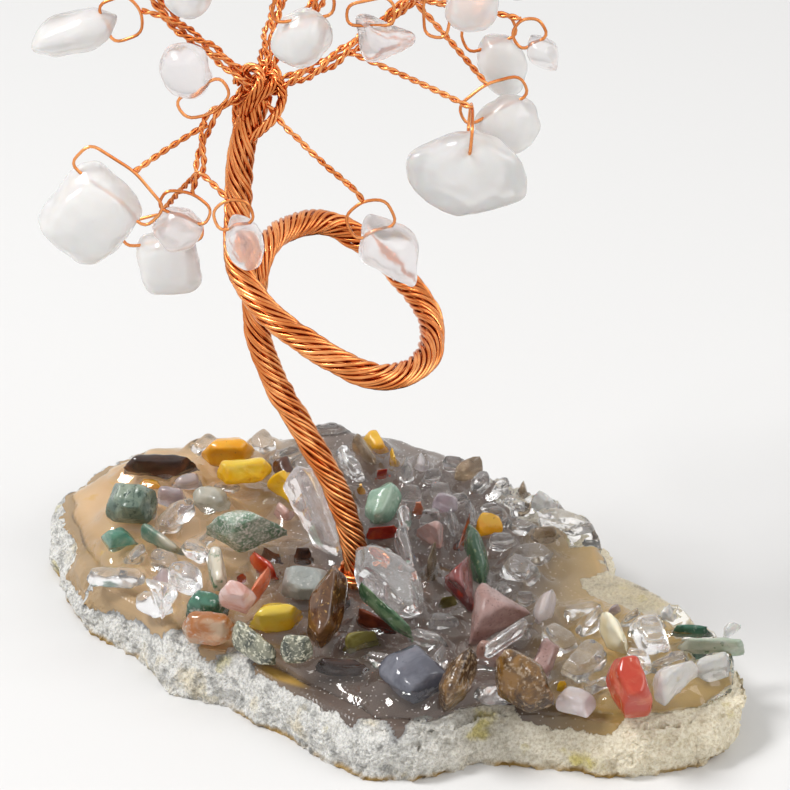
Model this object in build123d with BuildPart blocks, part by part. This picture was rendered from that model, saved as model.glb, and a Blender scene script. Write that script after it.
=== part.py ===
from build123d import *
import math
import os

os.makedirs("parts", exist_ok=True)

# Agate slice, its long axis turned clockwise as seen from above
slice_length = 105.0
slice_width = 66.0
slice_thickness = 7.0
slice_turn = -33.0

# Poured resin on the polished face, which beds the lowest stones
glaze_thickness = 1.0
bed_depth = 0.7

# Rope of copper wire that makes the trunk, and the two wraps round its root
rope_diameter = 3.4
trunk_height = 70.0
trunk_root_x = -5.0
trunk_root_y = -7.0
wrap_wire = 0.7
wrap_gap = 0.1
wrap_rise = 1.6

# Crown of limbs, twigs and open eyes of copper wire
crown_width = 88.0
crown_depth = 66.0
crown_height = 64.0
limb_diameter = 2.0
twig_diameter = 1.0
eye_wire = 0.45
eye_clearance = 2.2
eye_shoulder = 1.0
eye_side_gap = 0.8
knot_diameter = 5.2
knot_wire = 1.1

# Tumbled stones
stone_length = 8.0
stone_gap = 0.2
bore_diameter = 0.95
loose_swing = 25.0
stone_stray = 1.0
search_step = 0.5

slice_edge_shares = [
    (-0.44, -0.22), (-0.47, -0.15), (-0.475, -0.02), (-0.46, 0.12), (-0.39, 0.20),
    (-0.35, 0.27), (-0.25, 0.43), (-0.17, 0.46), (-0.09, 0.45), (-0.02, 0.40),
    (0.08, 0.36), (0.15, 0.36), (0.21, 0.30), (0.26, 0.20), (0.31, 0.19),
    (0.38, 0.15), (0.44, 0.09), (0.50, 0.02), (0.53, -0.07), (0.52, -0.15),
    (0.45, -0.27), (0.37, -0.31), (0.29, -0.37), (0.25, -0.50), (0.19, -0.54),
    (0.07, -0.51), (-0.04, -0.47), (-0.12, -0.49), (-0.20, -0.42), (-0.30, -0.39),
    (-0.37, -0.31),
]
# height, spread and sideways shift of the rough rind, foot to face
rind_shares = [(0.0, 0.98, -0.05), (0.42, 1.012, -0.035), (1.0, 1.0, 0.0)]
glaze_edge_share = 0.965

# Outlines of broken and tumbled stones
stone_outline_shares = {
    "pebble": ((0.5, 0.05), (0.28, 0.42), (-0.18, 0.5), (-0.5, 0.12), (-0.34, -0.36), (0.2, -0.5)),
    "almond": ((0.5, 0.05), (0.22, 0.42), (-0.2, 0.5), (-0.5, -0.02), (-0.22, -0.42), (0.2, -0.5)),
    "wedge": ((0.5, -0.12), (0.42, 0.28), (-0.28, 0.5), (-0.5, -0.05), (-0.4, -0.5)),
    "triangle": ((0.5, -0.3), (0.06, 0.5), (-0.1, 0.46), (-0.5, -0.42), (-0.4, -0.5)),
    "block": ((0.46, -0.38), (0.5, 0.34), (0.36, 0.5), (-0.42, 0.46), (-0.5, -0.34), (-0.3, -0.5)),
    "kite": ((0.5, 0.1), (0.02, 0.5), (-0.2, 0.4), (-0.5, -0.08), (-0.06, -0.5)),
    "leaf": ((0.5, 0.12), (0.14, 0.5), (-0.3, 0.38), (-0.5, -0.1), (-0.16, -0.5), (0.34, -0.4)),
    "shard": ((0.5, -0.08), (0.38, 0.4), (-0.36, 0.5), (-0.5, 0.1), (-0.38, -0.4), (0.24, -0.5)),
}
bevel_in_shares = (0.20, 0.30, 0.14)
bevel_down_shares = (0.62, 0.42)

# Stones on the slice, in the order in which they are laid: node, outline,
# place along and across the slice, length, width and thickness in shares of
# stone_length, then the turn seen from above and the lean towards the front
base_stone_shares = [
    ("red_agate_block", "block", 0.438, -0.274, 0.94, 0.61, 0.95, -74, 38),
    ("clear_stones_left", "pebble", -0.173, -0.445, 0.81, 0.56, 0.35, -28, 5),
    ("dark_green_stones", "pebble", 0.392, -0.133, 0.28, 0.18, 0.41, 0, 10),
    ("milky_stones", "leaf", 0.286, -0.360, 0.74, 0.55, 0.30, -15, 5),
    ("mauve_stones", "block", 0.379, -0.309, 0.66, 0.49, 0.38, -29, 8),
    ("blue_grey_stone", "block", 0.196, -0.417, 1.02, 0.93, 0.41, -54, 24),
    ("bronze_stones", "leaf", 0.250, -0.424, 1.14, 0.50, 0.81, 63, 40),
    ("cream_almond", "almond", 0.358, -0.105, 0.92, 0.37, 0.68, -61, 40),
    ("tiger_eye_fang", "leaf", 0.051, -0.368, 1.49, 0.63, 0.75, 77, 48),
    ("clear_quartz_shell", "leaf", 0.076, -0.206, 1.68, 0.98, 0.76, -53, 45),
    ("rose_quartz_wedge", "shard", -0.086, -0.075, 1.84, 0.78, 0.62, -61, 52),
    ("grey_green_stones", "block", -0.028, -0.259, 0.83, 0.61, 0.68, -6, 45),
    ("clear_stones_left", "pebble", -0.273, 0.021, 0.55, 0.33, 0.27, 0, 10),
    ("dark_stones", "pebble", -0.078, -0.149, 0.41, 0.23, 0.54, 0, 20),
    ("dark_stones", "pebble", -0.113, -0.175, 0.53, 0.15, 0.41, -33, 10),
    ("olive_stones", "almond", 0.130, -0.132, 0.42, 0.11, 0.41, 17, 20),
    ("red_brown_stones", "shard", 0.092, -0.289, 0.85, 0.23, 0.54, -24, 30),
    ("streaked_stone", "pebble", -0.074, -0.479, 0.97, 0.62, 0.54, 0, 15),
    ("olive_stones", "wedge", 0.100, -0.362, 0.67, 0.33, 0.54, 15, 20),
    ("dark_stones", "leaf", 0.103, -0.440, 0.94, 0.38, 0.34, -6, 5),
    ("clear_stones_back", "leaf", -0.256, 0.355, 0.48, 0.16, 0.41, 6, 40),
    ("clear_stones_back", "wedge", -0.250, 0.189, 0.66, 0.42, 0.41, 33, 20),
    ("clear_stones_back", "pebble", -0.244, 0.258, 0.46, 0.23, 0.41, 15, 20),
    ("clear_stones_back", "pebble", -0.047, 0.344, 0.55, 0.37, 0.54, 0, 30),
    ("clear_stones_back", "block", -0.158, 0.212, 0.81, 0.32, 0.54, -59, 25),
    ("smoky_stones", "shard", -0.160, 0.273, 0.77, 0.29, 0.54, -55, 40),
    ("clear_stones_back", "leaf", 0.010, 0.303, 0.48, 0.36, 0.54, 37, 20),
    ("clear_stones_back", "pebble", -0.053, 0.275, 0.45, 0.33, 0.54, 15, 30),
    ("amber_stones", "wedge", -0.123, 0.293, 0.36, 0.13, 0.54, -74, 30),
    ("clear_stones_back", "kite", -0.083, 0.253, 0.52, 0.33, 0.68, 69, 30),
    ("clear_stones_right", "pebble", 0.149, 0.267, 1.06, 0.56, 0.34, -19, 20),
    ("clear_stones_right", "pebble", 0.111, 0.209, 0.52, 0.42, 0.34, 0, 10),
    ("clear_stones_right", "pebble", 0.069, 0.283, 0.54, 0.26, 0.34, -36, 10),
    ("red_stones", "pebble", -0.116, 0.237, 0.35, 0.15, 0.47, 19, 30),
    ("amber_stones", "pebble", -0.309, 0.110, 1.00, 0.59, 0.70, 6, 40),
    ("yellow_stones", "shard", -0.253, 0.042, 1.05, 0.52, 0.41, 12, 20),
    ("dark_stones", "almond", -0.369, -0.007, 1.41, 0.48, 0.57, 4, 25),
    ("amber_stones", "pebble", -0.362, -0.053, 0.46, 0.20, 0.27, -18, 10),
    ("yellow_stones", "wedge", -0.184, 0.040, 0.75, 0.54, 0.62, -60, 40),
    ("clear_stones_back", "pebble", -0.024, 0.233, 0.48, 0.28, 0.54, 0, 25),
    ("clear_stones_back", "pebble", -0.046, 0.174, 0.45, 0.29, 0.68, 0, 30),
    ("clear_stones_back", "wedge", 0.012, 0.215, 0.46, 0.22, 0.54, 15, 20),
    ("clear_stones_right", "pebble", 0.077, 0.193, 0.48, 0.38, 0.54, 0, 25),
    ("clear_stones_back", "pebble", 0.044, 0.177, 0.56, 0.24, 0.54, -77, 40),
    ("grey_green_stones", "block", -0.323, -0.203, 0.87, 0.74, 0.81, -13, 40),
    ("grey_green_stones", "leaf", -0.263, -0.059, 0.77, 0.61, 0.38, -36, 30),
    ("clear_stones_left", "wedge", -0.274, -0.116, 0.46, 0.26, 0.27, 20, 10),
    ("clear_stones_left", "leaf", -0.267, -0.172, 0.99, 0.49, 0.47, 45, 35),
    ("teal_stone", "kite", -0.292, -0.306, 0.74, 0.56, 0.55, -17, 40),
    ("grey_green_stones", "shard", -0.248, -0.261, 0.99, 0.31, 0.41, -38, 30),
    ("clear_stones_left", "pebble", -0.227, -0.104, 0.35, 0.29, 0.27, 0, 0),
    ("clear_stones_left", "wedge", -0.212, -0.197, 0.64, 0.33, 0.34, 52, 10),
    ("pale_jade_leaf", "leaf", -0.054, 0.084, 0.93, 0.63, 0.61, 63, 45),
    ("amber_stones", "pebble", -0.120, 0.161, 0.24, 0.12, 0.41, 0, 20),
    ("clear_stones_right", "pebble", 0.113, 0.121, 0.55, 0.35, 0.47, 0, 25),
    ("orange_stones", "pebble", -0.022, 0.144, 0.28, 0.13, 0.54, 0, 20),
    ("clear_stones_back", "block", 0.008, 0.112, 0.45, 0.20, 0.68, 0, 30),
    ("red_brown_stones", "shard", 0.067, 0.092, 0.86, 0.11, 0.34, 73, 40),
    ("clear_stones_back", "leaf", 0.045, 0.105, 0.58, 0.24, 0.68, -81, 45),
    ("red_stones", "shard", -0.023, 0.008, 0.66, 0.22, 0.68, 9, 35),
    ("clear_stones_right", "block", 0.175, 0.023, 0.64, 0.49, 0.54, -30, 30),
    ("smoky_stones", "block", 0.078, -0.059, 0.57, 0.17, 0.81, 74, 30),
    ("clear_stones_left", "leaf", -0.214, -0.316, 0.73, 0.46, 0.41, -33, 20),
    ("pale_green_stones", "block", -0.133, -0.322, 0.79, 0.33, 0.68, -81, 40),
    ("red_stones", "leaf", -0.100, -0.234, 0.75, 0.30, 0.54, -47, 30),
    ("lilac_stones", "kite", -0.168, -0.332, 0.61, 0.31, 0.34, 54, 20),
    ("milky_stones", "triangle", -0.151, -0.458, 0.78, 0.51, 0.54, -73, 40),
    ("clear_stones_left", "shard", -0.253, -0.402, 1.07, 0.53, 0.34, 0, 5),
    ("red_stones", "pebble", -0.116, -0.278, 0.29, 0.14, 0.41, 37, 30),
    ("orange_stones", "shard", -0.063, -0.340, 0.92, 0.20, 0.68, 60, 40),
    ("dark_green_stones", "block", -0.104, -0.419, 0.66, 0.46, 0.54, -14, 30),
    ("clear_stones_right", "pebble", 0.210, -0.049, 0.41, 0.28, 0.54, 0, 30),
    ("pink_stones", "leaf", 0.248, -0.073, 0.77, 0.37, 0.47, 63, 40),
    ("clear_stones_right", "wedge", 0.152, -0.199, 0.59, 0.31, 0.41, 0, 10),
    ("green_stick", "shard", 0.107, -0.310, 1.35, 0.22, 0.54, -44, 35),
    ("yellow_stones", "almond", -0.012, -0.396, 0.97, 0.54, 0.74, 14, 40),
    ("speckled_stones", "shard", -0.000, -0.493, 0.97, 0.37, 0.61, -38, 25),
    ("speckled_stones", "pebble", 0.059, -0.485, 0.59, 0.35, 0.61, 0, 25),
    ("clear_stones_right", "pebble", 0.248, -0.155, 0.41, 0.18, 0.41, 0, 15),
    ("clear_stones_right", "block", 0.297, -0.150, 0.64, 0.41, 0.47, -43, 25),
    ("clear_stones_right", "leaf", 0.307, -0.049, 0.73, 0.29, 0.41, 52, 20),
    ("lilac_stones", "pebble", 0.315, 0.014, 0.33, 0.18, 0.41, 38, 30),
    ("clear_stones_right", "pebble", 0.370, -0.010, 0.71, 0.34, 0.41, 17, 15),
    ("dark_green_stones", "almond", 0.420, 0.022, 0.73, 0.21, 0.47, -3, 25),
    ("milky_stones", "triangle", 0.457, 0.070, 0.50, 0.23, 0.41, 35, 35),
    ("pale_green_stones", "shard", 0.460, -0.008, 1.11, 0.26, 0.54, -2, 30),
    ("clear_stones_right", "leaf", 0.426, -0.106, 0.92, 0.35, 0.41, 26, 10),
    ("clear_stones_right", "block", 0.349, -0.195, 0.90, 0.55, 0.47, 51, 15),
    ("milky_stones", "pebble", 0.480, -0.069, 0.82, 0.45, 0.47, 34, 15),
    ("clear_stones_right", "leaf", 0.160, -0.273, 0.72, 0.34, 0.41, -25, 15),
    ("brown_pink_stone", "pebble", 0.247, -0.264, 0.66, 0.42, 0.54, -15, 25),
    ("bronze_stones", "leaf", 0.324, -0.356, 1.17, 0.76, 0.74, -43, 25),
    ("milky_stones", "wedge", 0.468, -0.180, 0.94, 0.54, 0.68, 32, 30),
    ("clear_stones_right", "wedge", 0.382, -0.233, 0.69, 0.32, 0.34, 36, 10),
    ("yellow_stones", "pebble", 0.349, -0.277, 0.26, 0.16, 0.41, 0, 25),
    ("pink_stones", "block", -0.052, -0.437, 0.59, 0.43, 0.68, -24, 40),
    ("moss_agate_lens", "kite", -0.149, -0.185, 1.49, 0.70, 0.81, -6, 40),
    ("pink_stones", "triangle", 0.043, 0.040, 0.60, 0.46, 0.81, -44, 45),
    ("clear_stones_back", "block", 0.032, -0.044, 0.76, 0.30, 0.81, -76, 45),
    ("dark_jade_leaf", "leaf", 0.129, -0.016, 1.19, 0.42, 0.69, -80, 50),
    ("red_jasper_pyramid", "triangle", 0.142, -0.147, 1.00, 0.58, 0.88, 86, 45),
    ("mauve_stones", "triangle", 0.220, -0.211, 1.20, 0.94, 0.62, 21, 50),
    ("clear_stones_right", "shard", 0.267, -0.271, 0.98, 0.25, 0.47, 39, 35),
    ("mauve_stones", "block", 0.036, 0.322, 0.50, 0.34, 0.45, 72, 0),
    ("dark_stones", "block", -0.222, 0.119, 0.59, 0.41, 0.46, -69, 35),
    ("clear_stones_back", "block", -0.100, 0.072, 0.46, 0.32, 0.30, -63, 20),
    ("clear_stones_back", "pebble", -0.216, 0.188, 0.52, 0.43, 0.29, 6, 35),
    ("smoky_stones", "leaf", -0.015, 0.323, 0.70, 0.35, 0.37, 34, 10),
    ("mauve_stones", "block", 0.312, -0.242, 0.80, 0.41, 0.31, 64, 35),
    ("pink_stones", "leaf", -0.167, -0.015, 0.46, 0.29, 0.40, -58, 30),
    ("smoky_stones", "kite", 0.065, 0.334, 0.51, 0.28, 0.46, 66, 10),
    ("dark_stones", "block", -0.183, 0.150, 0.53, 0.40, 0.33, 62, 25),
    ("clear_stones_right", "wedge", 0.195, -0.318, 0.49, 0.33, 0.41, 67, 30),
    ("clear_stones_right", "leaf", 0.131, -0.384, 0.71, 0.37, 0.36, -27, 0),
    ("smoky_stones", "shard", -0.084, 0.017, 0.48, 0.26, 0.37, -6, 35),
    ("mauve_stones", "pebble", 0.160, 0.116, 0.75, 0.53, 0.40, 7, 25),
    ("clear_stones_right", "wedge", -0.001, -0.060, 0.63, 0.43, 0.34, -68, 25),
    ("clear_stones_back", "shard", -0.012, 0.064, 0.50, 0.31, 0.45, -80, 35),
    ("smoky_stones", "shard", 0.150, 0.196, 0.49, 0.33, 0.46, 15, 25),
    ("lilac_stones", "wedge", 0.014, 0.154, 0.52, 0.43, 0.47, -11, 30),
    ("dark_stones", "pebble", 0.021, -0.254, 0.57, 0.30, 0.36, 50, 25),
    ("pink_stones", "wedge", -0.091, 0.326, 0.60, 0.31, 0.38, 85, 10),
    ("pink_stones", "leaf", 0.224, -0.125, 0.56, 0.31, 0.38, -21, 30),
    ("clear_stones_right", "triangle", 0.173, -0.042, 0.48, 0.27, 0.46, 27, 25),
    ("amber_stones", "block", -0.168, 0.336, 0.56, 0.35, 0.40, -64, 25),
    ("milky_stones", "shard", 0.103, 0.310, 0.53, 0.40, 0.44, -44, 20),
    ("smoky_stones", "kite", -0.136, 0.117, 0.74, 0.48, 0.43, -58, 10),
    ("amber_stones", "wedge", 0.085, 0.147, 0.52, 0.38, 0.46, 2, 0),
    ("clear_stones_right", "kite", 0.055, 0.233, 0.52, 0.29, 0.43, -13, 25),
    ("lilac_stones", "block", -0.319, -0.018, 0.55, 0.34, 0.38, 16, 30),
    ("pale_green_stones", "almond", -0.185, -0.277, 0.64, 0.43, 0.33, -18, 35),
    ("clear_stones_back", "leaf", -0.296, 0.204, 0.66, 0.47, 0.36, 85, 25),
    ("lilac_stones", "pebble", -0.188, -0.380, 0.67, 0.44, 0.32, -77, 20),
    ("clear_stones_left", "leaf", -0.152, -0.387, 0.78, 0.53, 0.41, -40, 35),
    ("clear_stones_back", "block", -0.363, 0.145, 0.60, 0.43, 0.30, 48, 20),
    ("lilac_stones", "shard", -0.312, -0.092, 0.58, 0.42, 0.47, -7, 20),
    ("pale_green_stones", "almond", -0.257, -0.324, 0.58, 0.31, 0.42, 55, 30),
    ("clear_stones_right", "shard", 0.414, -0.173, 0.51, 0.39, 0.45, -18, 0),
    ("pale_green_stones", "block", 0.394, -0.067, 0.79, 0.57, 0.44, -74, 30),
    ("milky_stones", "kite", 0.376, 0.059, 0.54, 0.31, 0.43, 43, 20),
    ("pale_green_stones", "shard", 0.278, -0.006, 0.72, 0.41, 0.29, 27, 0),
    ("clear_stones_right", "pebble", 0.344, -0.001, 0.53, 0.29, 0.43, 45, 30),
]

# Route of the rope from its root, in shares of trunk_height: up to the left,
# once round in an open ring, across its own front and up to the knot
trunk_route_shares = [
    (0.0, 0.0, 0.0), (0.0, 0.0, 0.08), (-0.036, -0.001, 0.214), (-0.093, -0.001, 0.329),
    (-0.151, 0.0, 0.436), (-0.184, 0.0, 0.557), (-0.180, -0.003, 0.679), (-0.137, 0.121, 0.690),
    (-0.050, 0.217, 0.666), (0.064, 0.171, 0.600), (0.146, 0.054, 0.537), (0.131, -0.086, 0.513),
    (0.043, -0.191, 0.529), (-0.080, -0.169, 0.591), (-0.166, -0.117, 0.640),
    (-0.214, -0.051, 0.691), (-0.207, -0.009, 0.786), (-0.204, 0.0, 0.90), (-0.164, 0.0, 1.0),
]

# Limbs: route of each stem from the knot, in shares of the crown
limb_route_shares = {
    "left_limb": [(0, 0, 0), (-0.055, 0.02, 0.07), (-0.12, 0.04, 0.12), (-0.17, 0.0, 0.28),
                  (-0.22, -0.03, 0.45)],
    "lower_left_limb": [(0, 0, 0), (-0.045, -0.03, 0.0), (-0.08, -0.05, -0.04), (-0.085, -0.075, -0.13)],
    "front_limb": [(0, 0, 0), (0.03, -0.035, -0.05), (0.09, -0.07, -0.115), (0.125, -0.085, -0.155)],
    "main_limb": [(0, 0, 0), (0.02, 0.02, 0.09), (0.10, 0.02, 0.19), (0.10, -0.02, 0.45),
                  (0.05, 0.02, 0.70), (0.05, 0.0, 0.88)],
    "right_limb": [(0, 0, 0), (0.055, -0.03, 0.045), (0.12, -0.02, 0.09), (0.21, 0.0, 0.19),
                   (0.33, 0.01, 0.35), (0.42, 0.03, 0.52)],
    "back_limb": [(0, 0, 0), (0.0, 0.10, 0.045), (0.05, 0.24, 0.22), (0.08, 0.34, 0.42)],
}

# Stones of the crown, limb by limb: node, stem point that the twig leaves, place
# of the twig's end in shares of the crown, way of the bore, outline, length,
# width and thickness in shares of stone_length, then turn, dip and roll of the bore
crown_stone_shares = {
    "left_limb": [
        ("hung_stone_7", 4, (-0.3, -0.12, 0.42), "width", "almond", 1.1, 0.9, 0.6, 50, 0, 0),
        ("milky_crown_stones", 2, (-0.165, 0.06, 0.145), "width", "almond", 1.7, 0.75, 0.6, 0, 70, 0),
        ("clear_crown_stones", 2, (-0.1, 0.03, 0.24), "width", "leaf", 1.1, 0.8, 0.55, 20, 170, 20),
        ("milky_crown_stones", 3, (-0.1, -0.1, 0.36), "width", "pebble", 1.1, 0.9, 0.6, 30, 0, -20),
        ("clear_crown_stones", 3, (-0.26, 0.08, 0.28), "width", "wedge", 1.1, 0.85, 0.55, 0, 60, 0),
        ("milky_crown_stones", 4, (-0.27, 0.06, 0.55), "width", "pebble", 1.2, 0.95, 0.65, 0, 120, 0),
        ("rose_crown_stones", 4, (-0.19, -0.14, 0.58), "width", "kite", 1.1, 0.85, 0.55, 40, 160, 0),
        ("milky_crown_stones", 4, (-0.16, 0.08, 0.66), "width", "leaf", 1.1, 0.9, 0.6, 80, 170, 30),
    ],
    "lower_left_limb": [
        ("hung_stone_1", 2, (-0.173, -0.105, -0.115), "width", "block", 1.55, 1.4, 0.85, 0, 44, 0),
        ("clear_crown_stones", 1, (-0.065, -0.05, -0.02), "width", "pebble", 1.0, 0.85, 0.5, 0, 150, 0),
        ("rose_crown_stones", 3, (-0.095, -0.07, -0.175), "width", "pebble", 0.85, 0.8, 0.5, 0, 24, 0),
        ("clear_crown_stones", 3, (-0.045, -0.12, -0.165), "width", "almond", 1.05, 0.6, 0.5, 0, -17, 0),
        ("milky_crown_stones", 3, (-0.145, 0.02, -0.26), "width", "block", 1.2, 1.1, 0.6, 0, -5, 0),
    ],
    "front_limb": [
        ("hung_stone_2", 3, (0.142, -0.09, -0.183), "width", "kite", 1.5, 1.0, 0.65, 0, -24, 0),
    ],
    "main_limb": [
        ("hung_stone_3", 3, (0.065, -0.135, 0.265), "width", "pebble", 1.1, 1.05, 0.6, 20, 0, 0),
        ("hung_stone_4", 2, (0.175, -0.155, 0.255), "width", "triangle", 0.85, 1.0, 0.5, 0, 0, 0),
        ("clear_crown_stones", 3, (0.0, -0.14, 0.48), "width", "pebble", 1.2, 0.9, 0.6, 60, 10, -40),
        ("milky_crown_stones", 3, (0.17, -0.16, 0.5), "width", "almond", 1.2, 1.0, 0.65, 20, 0, -50),
        ("clear_crown_stones", 3, (0.2, 0.12, 0.58), "width", "leaf", 1.0, 0.8, 0.55, 70, 190, 30),
        ("milky_crown_stones", 4, (-0.05, 0.06, 0.8), "width", "pebble", 1.1, 0.9, 0.6, 10, 120, 0),
        ("rose_crown_stones", 4, (0.14, -0.1, 0.78), "width", "wedge", 1.1, 0.85, 0.6, 10, 200, 20),
        ("clear_crown_stones", 4, (0.14, 0.12, 0.82), "width", "kite", 1.1, 0.8, 0.55, 80, 190, -20),
        ("milky_crown_stones", 5, (0.05, 0.0, 0.9), "width", "almond", 1.1, 0.85, 0.6, 40, 180, 0),
    ],
    "right_limb": [
        ("hung_stone_5", 3, (0.314, -0.01, 0.025), "width", "pebble", 1.15, 1.2, 0.6, 10, -25, 0),
        ("hung_stone_6", 3, (0.307, 0.125, 0.113), "width", "leaf", 1.3, 0.9, 0.55, 0, -22, 0),
        ("hung_stone_9", 5, (0.52, -0.08, 0.44), "width", "pebble", 1.2, 0.9, 0.6, 60, 0, 0),
        ("milky_crown_stones", 2, (0.293, -0.121, 0.02), "face", "almond", 1.45, 2.0, 0.9, 90, 0, 5),
        ("clear_crown_stones", 3, (0.36, -0.02, 0.16), "width", "kite", 0.85, 0.55, 0.45, 0, -30, 0),
        ("milky_crown_stones", 3, (0.34, 0.16, 0.26), "width", "pebble", 1.0, 0.9, 0.55, 30, -20, 0),
        ("milky_crown_stones", 3, (0.225, -0.075, 0.215), "width", "block", 0.9, 0.85, 0.5, 0, -80, 0),
        ("milky_crown_stones", 4, (0.36, -0.16, 0.44), "width", "pebble", 1.1, 0.95, 0.65, 30, 0, -45),
        ("clear_crown_stones", 4, (0.3, 0.16, 0.48), "width", "leaf", 1.1, 0.85, 0.55, 20, 180, 50),
        ("clear_crown_stones", 5, (0.5, 0.1, 0.58), "width", "pebble", 1.0, 0.85, 0.55, 0, 240, 0),
        ("milky_crown_stones", 5, (0.4, 0.0, 0.66), "width", "block", 1.1, 0.95, 0.65, 30, 180, 0),
    ],
    "back_limb": [
        ("hung_stone_8", 2, (-0.04, 0.38, 0.22), "width", "leaf", 1.1, 0.85, 0.6, 80, 0, 0),
        ("milky_crown_stones", 2, (0.16, 0.36, 0.2), "width", "pebble", 1.1, 0.9, 0.6, 10, 0, 60),
        ("clear_crown_stones", 3, (0.0, 0.44, 0.46), "width", "almond", 1.1, 0.85, 0.55, 0, 180, 40),
        ("milky_crown_stones", 3, (0.18, 0.42, 0.46), "width", "pebble", 1.1, 0.9, 0.6, 30, 200, 30),
        ("rose_crown_stones", 3, (0.09, 0.32, 0.6), "width", "leaf", 1.1, 0.85, 0.55, 60, 180, 0),
    ],
}
bore_place_share = 0.3

# Sizes worked out from the ones above
face_height = slice_thickness
glaze_height = slice_thickness + glaze_thickness
root = Vector(trunk_root_x, trunk_root_y, face_height)
knot = root + Vector(*trunk_route_shares[-1]) * trunk_height
turn_cos = math.cos(math.radians(slice_turn))
turn_sin = math.sin(math.radians(slice_turn))


def on_slice(along_share, across_share):
    """Place on the slice, seen from above."""
    along = along_share * slice_length
    across = across_share * slice_width
    return (along * turn_cos - across * turn_sin, along * turn_sin + across * turn_cos)


def in_crown(share):
    """Place in the crown, counted from the knot."""
    return knot + Vector(share[0] * crown_width, share[1] * crown_depth, share[2] * crown_height)


def bend_radii(points, closed=False):
    """Largest bend at each corner that leaves both of its runs a straight."""
    radii = []
    if closed:
        points = [points[-1], *points, points[0]]
    for before, corner, after in zip(points, points[1:], points[2:]):
        run = min((corner - before).length, (after - corner).length)
        turn = math.radians((corner - before).get_angle(after - corner))
        radii.append(0.45 * run / math.tan(turn / 2))
    return radii


def add_wire(points, diameter, closed=False):
    """Round wire along straight runs joined by tangent bends."""
    with BuildLine() as route:
        if len(points) == 2:
            Line(*points)
        else:
            FilletPolyline(*points, radius=bend_radii(points, closed), close=closed)
    with BuildSketch(Plane(origin=route.line @ 0, z_dir=route.line % 0)) as section:
        Circle(diameter / 2)
    sweep(sections=section.sketch, path=route.line)


def slice_section(height, spread, shift):
    """Corners of the slice's edge at one height."""
    places = []
    for along, across in slice_edge_shares:
        places.append(on_slice(along * spread, across * spread + shift))
    return Plane.XY.offset(height), places


def stone_corners(outline, length, width):
    return [(x * length, y * width) for x, y in stone_outline_shares[outline]]


def width_at(outline, share):
    """Lowest and highest reach of an outline at one share of its length."""
    corners = stone_outline_shares[outline]
    reached = []
    for (x0, y0), (x1, y1) in zip(corners, corners[1:] + corners[:1]):
        if x0 != x1 and (x0 - share) * (x1 - share) <= 0:
            reached.append(y0 + (y1 - y0) * (share - x0) / (x1 - x0))
    return min(reached), max(reached)


def stone_faces(outline, length, width, thickness):
    """Outward normal and distance of each face, in the stone's own frame."""
    corners = stone_corners(outline, length, width)
    faces = [(Vector(0, 0, 1), thickness / 2), (Vector(0, 0, -1), thickness / 2)]
    bevels = []
    for i, (x0, y0) in enumerate(corners):
        x1, y1 = corners[(i + 1) % len(corners)]
        side = Vector(y1 - y0, x0 - x1, 0).normalized()
        reach = side.X * x0 + side.Y * y0
        inward = bevel_in_shares[i % 3] * min(length, width)
        down = bevel_down_shares[i % 2] * thickness
        slope = (side * down + Vector(0, 0, inward)).normalized()
        shoulder = side * reach + Vector(0, 0, thickness / 2 - down)
        faces.append((side, reach))
        bevels.append((slope, slope.dot(shoulder)))
    return faces + bevels, bevels


def make_stone(place, outline, length, width, thickness, floor=None, bore=None):
    """Broken stone: a flat prism with its upper edges knocked off."""
    with BuildPart() as stone:
        with BuildSketch(place.offset(-thickness / 2)):
            Polygon(*stone_corners(outline, length, width), align=None)
        extrude(amount=thickness)
        for slope, reach in stone_faces(outline, length, width, thickness)[1]:
            origin = place.from_local_coords(slope * reach)
            normal = place.from_local_coords(slope * (reach + 1)) - origin
            split(bisect_by=Plane(origin=origin, z_dir=normal), keep=Keep.BOTTOM)
        if floor is not None:
            split(bisect_by=Plane.XY.offset(floor), keep=Keep.TOP)
        if bore is not None:
            with BuildSketch(bore):
                Circle(bore_diameter / 2)
            extrude(amount=width + thickness, both=True, mode=Mode.SUBTRACT)
    return stone.part


# Height of what lies below each spot of the slice, in columns search_step wide
reach_of_slice = slice_length * 0.75
columns = 2 * int(reach_of_slice / search_step) + 1
bed = [[glaze_height - bed_depth] * columns for _ in range(columns)]


def column_range(centre, reach):
    first = int((centre - reach + reach_of_slice) / search_step)
    last = int((centre + reach + reach_of_slice) / search_step) + 1
    return range(max(first, 0), min(last + 1, columns))


def fill_round(centre, radius, top):
    """Keeps the stones clear of an upright round piece."""
    for i in column_range(centre.X, radius):
        for j in column_range(centre.Y, radius):
            x = i * search_step - reach_of_slice
            y = j * search_step - reach_of_slice
            if math.hypot(x - centre.X, y - centre.Y) < radius:
                bed[i][j] = top


def stone_columns(attitude, faces, reach):
    """Underside and top of a stone in each column that it covers."""
    origin = attitude.from_local_coords(Vector(0, 0, 0))
    turned = []
    for normal, distance in faces:
        way = attitude.from_local_coords(normal) - origin
        turned.append((way.X, way.Y, way.Z, distance + stone_gap))
    half = int(reach / search_step) + 1
    cells = []
    for i in range(-half, half + 1):
        for j in range(-half, half + 1):
            low, high = -reach, reach
            inside = True
            for along, across, up, distance in turned:
                rest = distance - (along * i + across * j) * search_step
                if up > 0.001:
                    high = min(high, rest / up)
                elif up < -0.001:
                    low = max(low, rest / up)
                elif rest < 0:
                    inside = False
            if inside and high > low:
                cells.append((i, j, low, high))
    return cells


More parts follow.
